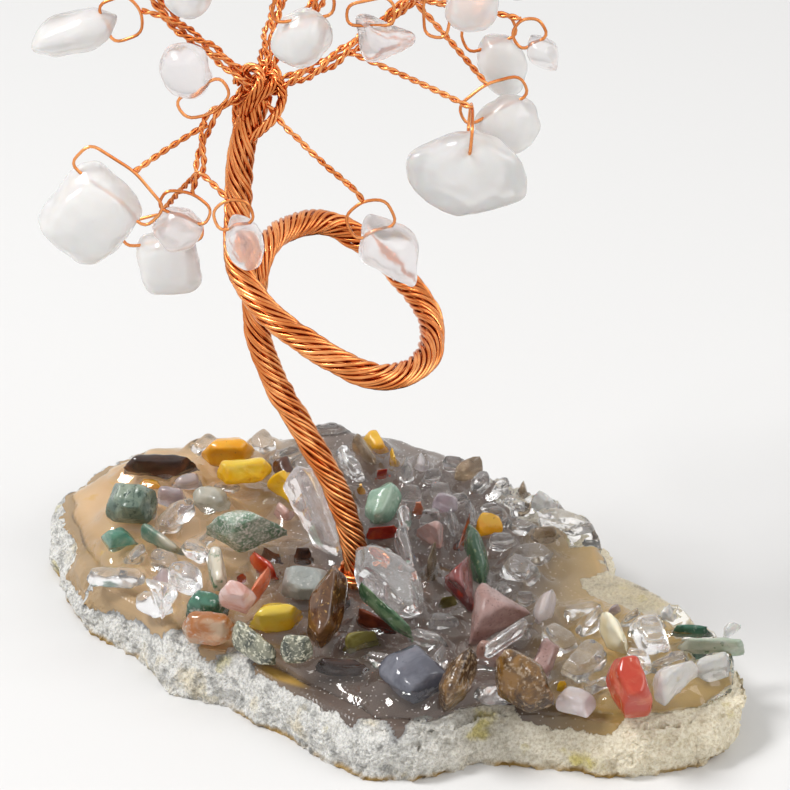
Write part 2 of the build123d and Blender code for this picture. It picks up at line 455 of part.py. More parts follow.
def seat_stone(x, y, cells):
    """Lowers a stone near its place, where it comes to lie lowest, on what is there."""
    middle_i = round((x + reach_of_slice) / search_step)
    middle_j = round((y + reach_of_slice) / search_step)
    stray = round(stone_stray / search_step)
    seats = []
    for i in range(middle_i - stray, middle_i + stray + 1):
        for j in range(middle_j - stray, middle_j + stray + 1):
            height = max(bed[i + di][j + dj] - low for di, dj, low, high in cells)
            off = math.hypot(i - middle_i, j - middle_j) * search_step
            seats.append((height + off / 2, i, j, height))
    cost, i, j, height = min(seats)
    for di, dj, low, high in cells:
        bed[i + di][j + dj] = max(bed[i + di][j + dj], height + high)
    return i * search_step - reach_of_slice, j * search_step - reach_of_slice, height


# Agate slice, flat underneath, with a rough rind that leans out at the front
with BuildPart() as agate_slice:
    for height_share, spread, shift in rind_shares:
        level, places = slice_section(height_share * slice_thickness, spread, shift)
        with BuildSketch(level):
            Polygon(*places, align=None)
    loft(ruled=True)
agate_slice.part.label = "agate_slice"
export_step(agate_slice.part, "parts/agate_slice.step")

# Rope of the trunk
trunk_route = [root + Vector(*share) * trunk_height for share in trunk_route_shares]
with BuildPart() as trunk_rope:
    add_wire(trunk_route, rope_diameter)
trunk_rope.part.label = "trunk_rope"
export_step(trunk_rope.part, "parts/trunk_rope.step")

# Two copper wraps lie on the resin round the root
wrap_radius = rope_diameter / 2 + wrap_gap + wrap_wire
with BuildPart() as root_wraps:
    for level in (0, 1):
        height = glaze_height + wrap_wire / 2 + level * wrap_rise
        with Locations((root.X, root.Y, height)):
            Torus(wrap_radius, wrap_wire / 2)
root_wraps.part.label = "root_wraps"
export_step(root_wraps.part, "parts/root_wraps.step")

# Resin, poured round the root
with BuildPart() as resin_glaze:
    level, places = slice_section(face_height, glaze_edge_share, 0)
    with BuildSketch(level):
        Polygon(*places, align=None)
        with Locations((root.X, root.Y)):
            Circle(rope_diameter / 2, mode=Mode.SUBTRACT)
    extrude(amount=glaze_thickness)
resin_glaze.part.label = "resin_glaze"
export_step(resin_glaze.part, "parts/resin_glaze.step")

# Stones on the slice, each lowered on to the resin or on to earlier stones
clear_height = trunk_height / 2
fill_round(root, wrap_radius + wrap_wire / 2 + stone_gap, clear_height)
for step in range(12):
    along_trunk = step / 4
    k = int(along_trunk)
    spot = trunk_route[k] + (trunk_route[k + 1] - trunk_route[k]) * (along_trunk - k)
    fill_round(spot, rope_diameter / 2 + 2 * stone_gap, clear_height)

base_stones = {}
for name, outline, along, across, length, width, thick, turn, lean in base_stone_shares:
    size = (length * stone_length, width * stone_length, thick * stone_length)
    x, y = on_slice(along, across)
    attitude = Plane(Location((0, 0, 0), (lean, 0, turn)))
    faces = stone_faces(outline, *size)[0]
    x, y, height = seat_stone(x, y, stone_columns(attitude, faces, max(size)))
    place = Plane(Location((x, y, height), (lean, 0, turn)))
    stone = make_stone(place, outline, *size, floor=glaze_height)
    base_stones.setdefault(name, []).append(stone)

for name, stones in base_stones.items():
    with BuildPart() as group:
        add(stones)
    group.part.label = name
    export_step(group.part, f"parts/{name}.step")

# Binding where the rope opens out into limbs
with BuildPart() as crown_knot:
    with Locations(knot):
        Sphere(knot_diameter / 2)
    for tip in ((60, 0, 0), (0, 65, 30)):
        with Locations(Location(knot, tip)):
            Torus(knot_diameter / 2, knot_wire / 2)
with BuildPart() as knot_binding:
    add(crown_knot.part)
    add(trunk_rope.part, mode=Mode.SUBTRACT)
knot_binding.part.label = "crown_knot"
export_step(knot_binding.part, "parts/crown_knot.step")


def bore_frame(turn, dip, roll):
    """Directions of a stone's bore, of its hang below the twig and across both."""
    turn, dip, roll = math.radians(turn), math.radians(dip), math.radians(roll)
    bore = Vector(math.cos(dip) * math.cos(turn), math.cos(dip) * math.sin(turn), -math.sin(dip))
    hang = Vector(-math.sin(dip) * math.cos(turn), -math.sin(dip) * math.sin(turn), -math.cos(dip))
    across = bore.cross(hang)
    return bore, hang * math.cos(roll) + across * math.sin(roll)


# Limbs with their twigs and eyes
threaded = []
for limb_name, route in limb_route_shares.items():
    stem = [in_crown(share) for share in route]
    with BuildPart() as limb:
        add_wire(stem, limb_diameter)
        for row in crown_stone_shares[limb_name]:
            name, leaves, end_share, way, outline, length, width, thick, turn, dip, roll = row
            size = (length * stone_length, width * stone_length, thick * stone_length)
            end = in_crown(end_share)
            bore, hang = bore_frame(turn, dip, roll)
            start = stem[leaves]
            if (end - start).length > twig_diameter:
                add_wire([start, end], twig_diameter)
            if way == "face":
                low, high = -size[2] / 2, size[2] / 2
                facing = bore
            else:
                low, high = [y * size[1] for y in width_at(outline, -bore_place_share)]
                facing = hang.cross(bore)
            near = bore * (low - eye_side_gap)
            far = bore * (high + eye_side_gap)
            shoulder = end + hang * eye_shoulder
            foot = end + hang * ((0.5 - bore_place_share) * size[0] + eye_clearance)
            eye = [end, shoulder + near, foot + near, foot + far, shoulder + far]
            add_wire(eye, eye_wire, closed=True)
            with Locations(end):
                Sphere(twig_diameter / 2)
            place = Plane(origin=foot + hang * bore_place_share * size[0], x_dir=hang, z_dir=facing)
            threaded.append((name, place, outline, size, Plane(origin=foot, z_dir=bore)))
    with BuildPart() as cut_limb:
        add(limb.part)
        add(knot_binding.part, mode=Mode.SUBTRACT)
        add(trunk_rope.part, mode=Mode.SUBTRACT)
    with BuildPart() as limb_wires:
        add(cut_limb.part.solids().sort_by(SortBy.VOLUME)[-1])
    limb_wires.part.label = limb_name
    export_step(limb_wires.part, f"parts/{limb_name}.step")

# Bored stones, threaded on the eyes. The loose ones swing about their bores
crown_stones = {}
for name, place, outline, size, bore in threaded:
    stone = make_stone(place, outline, *size, bore=bore)
    crown_stones.setdefault(name, []).append(stone)
    if name.startswith("hung"):
        foot, way = bore.origin, bore.z_dir
        print(name, [round(c, 3) for c in foot], [round(c, 4) for c in way], loose_swing)

for name, stones in crown_stones.items():
    with BuildPart() as group:
        add(stones)
    group.part.label = name
    export_step(group.part, f"parts/{name}.step")
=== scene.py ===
import math

import bmesh
import bpy
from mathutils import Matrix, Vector, noise
from mathutils.bvhtree import BVHTree


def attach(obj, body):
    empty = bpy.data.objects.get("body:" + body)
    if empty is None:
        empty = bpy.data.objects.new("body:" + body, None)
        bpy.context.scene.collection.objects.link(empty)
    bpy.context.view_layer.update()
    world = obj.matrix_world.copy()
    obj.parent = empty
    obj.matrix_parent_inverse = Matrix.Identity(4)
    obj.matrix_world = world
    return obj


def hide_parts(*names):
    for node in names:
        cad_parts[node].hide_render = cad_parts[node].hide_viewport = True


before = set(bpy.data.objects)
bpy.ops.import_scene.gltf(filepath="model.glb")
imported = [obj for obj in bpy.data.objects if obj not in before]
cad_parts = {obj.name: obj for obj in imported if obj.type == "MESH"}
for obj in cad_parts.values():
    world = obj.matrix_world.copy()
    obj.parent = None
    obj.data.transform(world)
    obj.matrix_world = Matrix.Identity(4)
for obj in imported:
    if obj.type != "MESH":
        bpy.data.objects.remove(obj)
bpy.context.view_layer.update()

# Agate slice. One slab sawn from a nodule, with a polished upper face and the
# nodule's own rind left round its edge: chalky, pitted, stained yellow and
# grey. The slab lies flat on whatever it stands on.


def closed_copy(*nodes):
    """Surface of some CAD solids with their seams closed."""
    shell = bmesh.new()
    for node in nodes:
        shell.from_mesh(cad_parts[node].data)
    bmesh.ops.remove_doubles(shell, verts=shell.verts, dist=1e-6)
    return shell


def placed(name, data):
    """Object of the scene that shows a mesh, a lamp or a camera."""
    thing = bpy.data.objects.new(name, data)
    bpy.context.collection.objects.link(thing)
    return thing


def set_down(name, shell):
    """Makes an object of a finished surface."""
    mesh = bpy.data.meshes.new(name)
    shell.to_mesh(mesh)
    shell.free()
    return placed(name, mesh)


def evened(name, shell, cell):
    """Rebuilds a surface from small even faces, ready to be worn and rounded."""
    rough = set_down(name + "_rough", shell)
    even = rough.modifiers.new("even", "REMESH")
    even.mode = "VOXEL"
    even.voxel_size = cell
    fine = bmesh.new()
    fine.from_object(rough, bpy.context.evaluated_depsgraph_get())
    bpy.data.objects.remove(rough)
    return fine


def clamp(value):
    """Value kept between 0 and 1."""
    return min(max(value, 0.0), 1.0)


def blank_material(name):
    """Empty material with its shader and output, and the node tree to fill."""
    material = bpy.data.materials.new(name)
    material.use_nodes = True
    tree = material.node_tree
    tree.nodes.clear()
    shader = tree.nodes.new("ShaderNodeBsdfPrincipled")
    output = tree.nodes.new("ShaderNodeOutputMaterial")
    tree.links.new(shader.outputs["BSDF"], output.inputs["Surface"])
    return material, tree, shader


def set_inputs(node, values):
    """Gives inputs of a node their values, by name."""
    for socket, value in values.items():
        node.inputs[socket].default_value = value


def add_node(tree, kind, inputs=None, **settings):
    """Node with its input values and its settings."""
    node = tree.nodes.new(kind)
    set_inputs(node, inputs or {})
    for setting, value in settings.items():
        setattr(node, setting, value)
    return node


def blended(tree, mask, first, second, way="MIX"):
    """Blend of two colours or colour outputs, by a mask or a fixed share."""
    blend = add_node(tree, "ShaderNodeMix", data_type="RGBA", blend_type=way)
    for number, value in ((0, mask), (6, first), (7, second)):
        if isinstance(value, tuple):
            blend.inputs[number].default_value = (*value, 1)
        elif isinstance(value, float):
            blend.inputs[number].default_value = value
        else:
            tree.links.new(value, blend.inputs[number])
    return blend.outputs[2]


def multiplied_in(tree, mask, colour, multiplier):
    """Colour multiplied by a second colour where a mask lies, or all over at a share of 1.0: stains, bands,
    painted shade and painted light.
    """
    return blended(tree, mask, colour, multiplier, "MULTIPLY")


def stepped(tree, value, low, high):
    """Mask that rises from 0 to 1 as a value goes from low to high."""
    ramp = add_node(tree, "ShaderNodeMapRange", interpolation_type="SMOOTHSTEP",
                    inputs={"From Min": low, "From Max": high})
    tree.links.new(value, ramp.inputs["Value"])
    return ramp.outputs["Result"]


def crossed(tree, first, second):
    """Mask left where two masks overlap, or a height kept to a mask."""
    product = add_node(tree, "ShaderNodeMath", operation="MULTIPLY")
    tree.links.new(first, product.inputs[0])
    tree.links.new(second, product.inputs[1])
    return product.outputs[0]


def place_output(tree):
    """Place of each point on the piece, in metres."""
    return add_node(tree, "ShaderNodeTexCoord").outputs["Object"]


def carried(tree, layer):
    """Value that each point of the mesh carries in a layer."""
    return add_node(tree, "ShaderNodeAttribute", attribute_name=layer).outputs["Fac"]


def noise_output(tree, place, grains, detail, rough=0.55):
    """Cloudy noise with so many grains to the metre."""
    grain = add_node(tree, "ShaderNodeTexNoise",
                     inputs={"Scale": grains, "Detail": detail, "Roughness": rough})
    tree.links.new(place, grain.inputs["Vector"])
    return grain.outputs["Fac"]


def give_relief(tree, shader, height, strength, depth):
    """Fine relief of a surface, from a height that varies over it."""
    relief = add_node(tree, "ShaderNodeBump", inputs={"Strength": strength, "Distance": depth})
    tree.links.new(height, relief.inputs["Height"])
    tree.links.new(relief.outputs["Normal"], shader.inputs["Normal"])


steepest_level = 0.5


def side_finder(shell):
    """Finds the nearest point of a sheet's upright edge, and how far off it is."""
    shell.normal_update()
    upright = []
    for face in shell.faces:
        if abs(face.normal.z) < steepest_level:
            upright.append([corner.index for corner in face.verts])
    return BVHTree.FromPolygons([point.co.copy() for point in shell.verts], upright)


def resin_rag(near):
    """How far the poured resin stops short of its edge at a place."""
    lobe = lobe_depth * clamp(0.45 + noise.noise(near * 210))
    nick = nick_depth * clamp(noise.noise(near * 700))
    return lobe + nick


def fading(gap, reach):
    """Share that falls from 1 to 0 as a gap grows to a reach."""
    return clamp(1 - gap / reach)


def rind_breadth(near, outward):
    """How broad the rind is at a place of the edge, over all and at the back right."""
    front = clamp(-2 * outward.y) * clamp((near.x - front_rind_from) / front_rind_ease)
    back_right = clamp((near.x - back_rind_from) / back_rind_ease) * clamp(3 * outward.y)
    right_end = clamp((near.x - end_rind_from) / end_rind_ease)
    return max(front, back_right, right_end), back_right


millimetre = 0.001
in_millimetres = 1000
down = Vector((0, 0, -1))
sheet_cell = 0.00045
lobe_depth = 0.0009
nick_depth = 0.0004
front_rind_from = -0.042
front_rind_ease = 0.012
back_rind_from = 0.012
back_rind_ease = 0.008
end_rind_from = 0.031
end_rind_ease = 0.009
thin_rind = 0.0003
broad_rind = 0.0027
back_rind = 0.0034
rind_on_side = 2.5
thin_waver = 0.0005
broad_waver = 0.0011
above_resin = 0.02
resin_middle = 0.0075
shore_width = 0.0006
swell_depth = 0.0013
pit_depth = 0.0008
crust_depth = 0.00035
side_wear_reach = 0.0025
brow_height = 0.0065
brow_pit = 0.0005
brow_lump = 0.00028
brow_round = 0.0009
brow_reach = 0.0028
deep_rind = 0.8
corner_pit = 0.0004
corner_crust = 0.0003
corner_reach = 0.0013

slab = evened("agate_slab", closed_copy("agate_slice"), sheet_cell)
slab.verts.index_update()
slab_side = side_finder(slab)
resin_plan = closed_copy("resin_glaze")
resin_plan.verts.index_update()
resin_edge = side_finder(resin_plan)
resin_cover = BVHTree.FromBMesh(resin_plan)
resin_plan.free()
rind_layer = slab.verts.layers.float.new("rind")
inset_layer = slab.verts.layers.float.new("inset")
covered_layer = slab.verts.layers.float.new("covered")
worn_places = []
for point in slab.verts:
    spot = point.co
    near, outward, _, inset = slab_side.find_nearest(spot)
    broad, back_right = rind_breadth(near, outward)
    waver = (thin_waver + broad_waver * broad) * noise.noise(spot * 230)
    rind_width = thin_rind + broad_rind * broad + waver
    rind_width += back_rind * back_right * (1 + noise.noise(near * 120))
    on_face = inset > thin_rind
    point[rind_layer] = (rind_width - inset) * in_millimetres if on_face else rind_on_side
    point[inset_layer] = inset * in_millimetres
    if resin_cover.ray_cast(Vector((spot.x, spot.y, above_resin)), down)[0] is not None:
        shore, _, _, shore_gap = resin_edge.find_nearest(Vector((spot.x, spot.y, resin_middle)))
        point[covered_layer] = clamp((shore_gap - resin_rag(shore)) / shore_width)
    inward = -Vector((outward.x, outward.y, 0)).normalized()
    swell = abs(noise.fractal(spot * 105, 0.9, 2.0, 3))
    pits = abs(noise.fractal(spot * 390 + Vector((7, 3, 1)), 0.7, 2.1, 4))
    crust = abs(noise.fractal(spot * 1300, 0.8, 2.0, 2))
    worn = swell_depth * swell + pit_depth * pits + crust_depth * crust
    sunk = 0
    if spot.z > brow_height:
        lumps = noise.fractal(spot * 620, 0.8, 2.0, 3)
        on_rind = clamp(point[rind_layer] / deep_rind)
        sunk = (corner_pit * pits + corner_crust * crust) * fading(inset, corner_reach)
        sunk += (brow_pit * pits - brow_lump * lumps) * on_rind * broad
        sunk += brow_round * broad * fading(inset, brow_reach) ** 2
    worn_places.append(spot + inward * worn * fading(inset, side_wear_reach) + down * sunk)
for point, worn_place in zip(slab.verts, worn_places):
    point.co = worn_place
agate_slab = set_down("agate_slab", slab)

agate, tree, shader = blank_material("agate")
place = place_output(tree)
rind = carried(tree, "rind")
inset = carried(tree, "inset")
covered = carried(tree, "covered")
split_place = add_node(tree, "ShaderNodeSeparateXYZ")
tree.links.new(place, split_place.inputs["Vector"])
blotches = noise_output(tree, place, 70, 3)
patches = noise_output(tree, place, 150, 5)
smudges = noise_output(tree, place, 520, 5, 0.7)
grains = noise_output(tree, place, 2600, 6, 0.75)

ragged_rind = add_node(tree, "ShaderNodeMath", operation="MULTIPLY_ADD", inputs={1: 2.2})
tree.links.new(noise_output(tree, place, 900, 5, 0.7), ragged_rind.inputs[0])
tree.links.new(rind, ragged_rind.inputs[2])
rind_depth = ragged_rind.outputs[0]
rind_mask = stepped(tree, rind_depth, 1.0, 1.2)

# grey chalk with dark smudges and yellow and cream stains, with painted shade in patches along its inner
# edge
chalk = blended(tree, stepped(tree, grains, 0.34, 0.6), (0.45, 0.44, 0.415), (0.86, 0.85, 0.81))
chalk = multiplied_in(tree, stepped(tree, smudges, 0.47, 0.68), chalk, (0.44, 0.44, 0.44))
chalk = multiplied_in(tree, stepped(tree, blotches, 0.5, 0.7), chalk, (0.8, 0.81, 0.83))
chalk = multiplied_in(tree, stepped(tree, patches, 0.6, 0.7), chalk, (0.96, 0.88, 0.48))
chalk = multiplied_in(tree, stepped(tree, patches, 0.42, 0.3), chalk, (1.0, 0.92, 0.76))
# painted shade in patches along the rind's inner edge, where the crust steps down to the polished face
painted_lip_shade = crossed(tree, stepped(tree, rind_depth, 1.8, 1.25), stepped(tree, blotches, 0.42, 0.58))
chalk = multiplied_in(tree, painted_lip_shade, chalk, (0.42, 0.43, 0.46))

# cream crust towards the right end, and rust along the foot
cream = blended(tree, stepped(tree, grains, 0.3, 0.62), (0.6, 0.5, 0.33), (0.91, 0.84, 0.67))
cream = multiplied_in(tree, stepped(tree, patches, 0.6, 0.72), cream, (0.9, 0.86, 0.42))
chalk = blended(tree, stepped(tree, split_place.outputs["X"], -0.006, 0.03), chalk, cream)
near_foot = stepped(tree, split_place.outputs["Z"], 0.0011, 0.0002)
foot_line = crossed(tree, near_foot, stepped(tree, patches, 0.4, 0.55))
chalk = blended(tree, foot_line, chalk, (0.4, 0.25, 0.07))

# polished face: tan on the left, dark with painted glints in the middle, amber on the right
tan_face = blended(tree, patches, (0.76, 0.5, 0.255), (0.94, 0.67, 0.375))
honey = noise_output(tree, place, 210, 3)
tan_face = blended(tree, stepped(tree, honey, 0.6, 0.74), tan_face, (0.84, 0.54, 0.16))
tan_face = multiplied_in(tree, stepped(tree, inset, 4.6, 2.2), tan_face, (0.8, 0.82, 0.84))
dark_face = blended(tree, patches, (0.15, 0.112, 0.094), (0.285, 0.218, 0.185))
amber_face = blended(tree, patches, (0.5, 0.31, 0.075), (0.74, 0.53, 0.22))
from_left = stepped(tree, split_place.outputs["X"], -0.028, -0.008)
polished = blended(tree, from_left, tan_face, dark_face)
# painted glints: small bright dots on the dark middle of the face
glint_cells = add_node(tree, "ShaderNodeTexVoronoi", inputs={"Scale": 1400.0})
tree.links.new(place, glint_cells.inputs["Vector"])
painted_glint_mask = crossed(tree, stepped(tree, glint_cells.outputs["Distance"], 0.2, 0.12), from_left)
polished = blended(tree, painted_glint_mask, polished, (0.95, 0.9, 0.84))
from_right = stepped(tree, split_place.outputs["X"], 0.014, 0.028)
polished = blended(tree, from_right, polished, amber_face)

# one amber streak near the front edge, and faint bands that follow the outline
streak_place = add_node(tree, "ShaderNodeMapping", vector_type="TEXTURE",
                        inputs={"Location": (-0.0142, -0.0291, 0.007),
                                "Rotation": (0, 0, math.radians(-41)),
                                "Scale": (0.005, 0.0011, 0.01)})
tree.links.new(place, streak_place.inputs["Vector"])
streak_reach = add_node(tree, "ShaderNodeVectorMath", operation="LENGTH")
tree.links.new(streak_place.outputs["Vector"], streak_reach.inputs[0])
streak = stepped(tree, streak_reach.outputs["Value"], 1.0, 0.4)
polished = blended(tree, streak, polished, (0.8, 0.5, 0.12))
bands = add_node(tree, "ShaderNodeTexNoise", noise_dimensions="1D",
                 inputs={"Scale": 0.55, "Detail": 2.0})
tree.links.new(inset, bands.inputs["W"])
polished = multiplied_in(tree, stepped(tree, bands.outputs["Fac"], 0.5, 0.9), polished, (1.25, 1.2, 1.15))

# the face is darker where no resin covers it: painted light, the face under the resin drawn twice as light
# to make up for the lamp light that the resin holds back
light_under_resin = blended(tree, covered, (0.5, 0.49, 0.48), (1, 1, 1))
polished = multiplied_in(tree, 1.0, polished, light_under_resin)
tree.links.new(blended(tree, rind_mask, polished, chalk), shader.inputs["Base Color"])

gloss = add_node(tree, "ShaderNodeMapRange", inputs={"To Min": 0.22, "To Max": 0.8})
tree.links.new(rind_mask, gloss.inputs["Value"])
tree.links.new(gloss.outputs["Result"], shader.inputs["Roughness"])
set_inputs(shader, {"Subsurface Weight": 0.12, "Subsurface Radius": (0.002, 0.0016, 0.001)})
rind_grain = crossed(tree, noise_output(tree, place, 2100, 6, 0.7), rind_mask)
give_relief(tree, shader, rind_grain, 0.7, 0.0006)
agate_slab.data.materials.append(agate)
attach(agate_slab, "tree")
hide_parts("agate_slice")

# Trunk. Thirteen outer strands of copper wire, laid left-handed by hand round a
# core of more of them. The rope stands in the resin, leans over, makes one
# open ring across its own front and goes up to the knot.

spline_steps = 24
full_turn = 2 * math.pi


def along_spline(points, gap):
    """Even points along the smooth line that a wire's route controls."""
    line = bpy.data.curves.new("route", "CURVE")
    line.dimensions = "3D"
    line.resolution_u = spline_steps
    spline = line.splines.new("NURBS")
    spline.points.add(len(points) - 1)
    for handle, spot in zip(spline.points, points):
        handle.co = (*spot, 1)
    spline.order_u = 3
    spline.use_endpoint_u = True
    carrier = bpy.data.objects.new("route", line)
    mesh = bpy.data.meshes.new_from_object(carrier)
    corners = [vertex.co.copy() for vertex in mesh.vertices]
    bpy.data.objects.remove(carrier)
    bpy.data.meshes.remove(mesh)
    return even_points(corners, gap)


def even_points(corners, gap):
    """Points spaced evenly along a line of corners."""
    lengths = [0.0]
    for before, after in zip(corners, corners[1:]):
        lengths.append(lengths[-1] + (after - before).length)
    count = max(2, round(lengths[-1] / gap))
    spots = []
    run = 0
    for step in range(count + 1):
        reach = lengths[-1] * step / count
        while run < len(corners) - 2 and lengths[run + 1] < reach:
            run += 1
        span = max(lengths[run + 1] - lengths[run], 1e-9)
        spots.append(corners[run].lerp(corners[run + 1], (reach - lengths[run]) / span))
    return spots


def wound(spots, reach, pitch, start, stray=0.0):
    """Path of a strand that winds left-handed round a line and strays a little."""
    ahead = (spots[1] - spots[0]).normalized()
    side = ahead.orthogonal().normalized()
    path = []
    gone = 0.0
    for step, spot in enumerate(spots):
        if step:
            gone += (spot - spots[step - 1]).length
        before = spots[max(step - 1, 0)]
        after = spots[min(step + 1, len(spots) - 1)]
        facing = (after - before).normalized()
        side = (ahead.rotation_difference(facing) @ side).normalized()
        ahead = facing
        unevenness = 0.12 * noise.noise(Vector((gone * 85, 0.5, 9.1)))
        turned = start - full_turn * (gone / pitch + unevenness)
        out = side * math.cos(turned) + ahead.cross(side) * math.sin(turned)
        kinks = noise.noise(Vector((gone * 260, 3.7 * start, 0.5)))
        bows = noise.noise(Vector((gone * 75, 0.9 * start, 4.5)))
        path.append(spot + out * (reach + stray * (kinks + bows)))
    return path


def drawn_wires(name, paths, roundness=1):
    """Round wires along paths, each given with its radius and if it closes."""
    drawn = bpy.data.curves.new(name, "CURVE")
    drawn.dimensions = "3D"
    drawn.bevel_depth = 1.0
    drawn.bevel_resolution = roundness
    drawn.use_fill_caps = True
    for path, radius, closed in paths:
        spline = drawn.splines.new("POLY")
        spline.points.add(len(path) - 1)
        for handle, spot in zip(spline.points, path):
            handle.co = (*spot, 1)
            handle.radius = radius
        spline.use_cyclic_u = closed
        spline.use_smooth = True
    carrier = bpy.data.objects.new(name + "_line", drawn)
    mesh = bpy.data.meshes.new_from_object(carrier)
    bpy.data.objects.remove(carrier)
    mesh.name = name
    return placed(name, mesh)


copper, tree, shader = blank_material("copper_wire")
place = place_output(tree)
tint = noise_output(tree, place, 240, 3)
copper_colour = blended(tree, stepped(tree, tint, 0.35, 0.65),
                        (0.66, 0.205, 0.055), (0.92, 0.385, 0.14))
tree.links.new(copper_colour, shader.inputs["Base Color"])
set_inputs(shader, {"Metallic": 1.0, "Roughness": 0.22})
give_relief(tree, shader, noise_output(tree, place, 5200, 2), 0.12, 0.00005)

trunk_route = [Vector(spot) * millimetre for spot in (
    (-5.0, -7.0, 7.0), (-5.0, -7.0, 12.6), (-7.5, -7.1, 22.0), (-11.5, -7.1, 30.0),
    (-15.6, -7.0, 37.5), (-17.9, -7.0, 46.0), (-17.6, -7.2, 54.5), (-14.6, 1.5, 55.3),
    (-8.5, 8.2, 53.6), (-0.5, 5.0, 49.0), (5.2, -3.2, 44.6), (4.2, -13.0, 42.9),
    (-2.0, -20.4, 44.0), (-10.6, -18.8, 48.4), (-16.6, -15.2, 51.8), (-20.0, -10.6, 55.4),
    (-19.5, -7.6, 62.0), (-19.3, -7.0, 70.0), (-16.5, -7.0, 77.0),
)]
rope_strands = 13
rope_pitch = 0.015
rope_reach = 0.0014
rope_step = 0.00042
core_radius = 0.00112
strand_radius = 0.00027
strand_stray = 0.00017
strand_crowding = 0.18
rope_line = along_spline(trunk_route, rope_step)
strands = [(rope_line, core_radius, False)]
for strand in range(rope_strands):
    phase = full_turn * (strand + strand_crowding * (strand % 3)) / rope_strands
    strand_path = wound(rope_line, rope_reach, rope_pitch, phase, strand_stray)
    strands.append((strand_path, strand_radius, False))
trunk = drawn_wires("trunk_strands", strands)
trunk.data.materials.append(copper)
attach(trunk, "tree")
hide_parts("trunk_rope")

# Root wraps. A length of the same wire is wound twice round the foot of the
# rope, and its ends are tucked into the resin.

root_x = -0.005
root_y = -0.007
wrap_steps = 60
steps_a_turn = 24
wrap_foot = 0.00835
wrap_rise = 0.0019
wrap_reach = 0.0023
wrap_radius = 0.00033
tucked_after = 55
tuck_step = 0.00008
wrap_path = []
for step in range(wrap_steps + 1):
    turned = full_turn * step / steps_a_turn
    reach = wrap_reach - tuck_step * max(0, step - tucked_after)
    x = root_x + reach * math.cos(turned)
    y = root_y + reach * math.sin(turned)
    wrap_path.append(Vector((x, y, wrap_foot + wrap_rise * step / wrap_steps)))
wraps = drawn_wires("root_wrap_wire", [(wrap_path, wrap_radius, False)], roundness=2)
wraps.data.materials.append(copper)
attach(wraps, "tree")
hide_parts("root_wraps")

# Knot. Where the rope ends, its wires part into bundles that are looped once
# over each other before they leave as limbs.

knot = Vector((-16.48, -7.0, 77.0)) * millimetre


def from_knot(spot):
    """Place given in millimetres from the knot."""
    return knot + Vector(spot) * millimetre


def bundle(centre_line, count, reach, pitch, radius, start=0.0):
    """Some strands wound together along a line."""
    wires = []
    for strand in range(count):
        phase = start + full_turn * strand / count
        wires.append((wound(centre_line, reach, pitch, phase), radius, False))
    return wires


knot_loops = (
    ((-2.8, 0.2, -6.5), (-2.6, -0.6, -3.2), (-1.0, -2.2, -0.4),
     (1.6, -1.8, 1.6), (2.4, 0.6, 2.8), (0.4, 1.9, 3.6)),
    ((-1.6, -0.9, -5.8), (0.2, -2.0, -4.0), (2.2, -1.6, -2.0),
     (2.9, 0.2, 0.2), (1.8, 1.6, 2.2), (-1.2, 1.2, 3.0)),
    ((-3.0, 0.8, -4.6), (-3.2, 1.4, -1.6), (-1.6, 1.8, 0.8),
     (0.8, 0.6, 2.6), (2.6, -1.2, 2.2), (2.8, -1.9, 0.4)),
    ((-2.6, -1.2, -2.2), (-0.8, -2.6, 0.6), (0.4, -1.8, 2.6),
     (-0.6, 0.2, 3.6), (-2.4, 1.2, 2.6), (-3.0, 1.4, 0.8)),
)
wire_radius = 0.00021
wire_step = 0.00025
loop_wires = 5
loop_reach = 0.00042
loop_pitch = 0.0052
loop_core_radius = 0.00026
knot_wires = []
for number, loop in enumerate(knot_loops):
    line = along_spline([from_knot(spot) for spot in loop], wire_step)
    knot_wires += bundle(line, loop_wires, loop_reach, loop_pitch, wire_radius, number)
    knot_wires.append((line, loop_core_radius, False))
knot_piece = drawn_wires("knot_wires", knot_wires)
knot_piece.data.materials.append(copper)
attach(knot_piece, "tree")
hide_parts("crown_knot")

# Limbs. Bundles of twisted pairs that leave the knot. Each pair branches off
# as a twig and ends in an open eye, one wire bent down through a stone's bore
# and back up to the twig's end.

# places of each stem, in millimetres from the knot
limb_routes = {
    "left_limb": ((0, 0, 0), (-4.8, 1.3, 4.5), (-10.6, 2.6, 7.7),
                  (-15.0, 0.0, 17.9), (-19.4, -2.0, 28.8)),
    "lower_left_limb": ((0, 0, 0), (-4.0, -2.0, 0.0), (-7.0, -3.3, -2.6), (-7.5, -5.0, -8.3)),
    "front_limb": ((0, 0, 0), (2.6, -2.3, -3.2), (7.9, -4.6, -7.4), (11.0, -5.6, -9.9)),
    "main_limb": ((0, 0, 0), (1.8, 1.3, 5.8), (8.8, 1.3, 12.2),
                  (8.8, -1.3, 28.8), (4.4, 1.3, 44.8), (4.4, 0.0, 56.3)),
    "right_limb": ((0, 0, 0), (4.8, -2.0, 2.9), (10.6, -1.3, 5.8),
                   (18.5, 0.0, 12.2), (29.0, 0.7, 22.4), (37.0, 2.0, 33.3)),
    "back_limb": ((0, 0, 0), (0.0, 6.6, 2.9), (4.4, 15.8, 14.1), (7.0, 22.4, 26.9)),
}
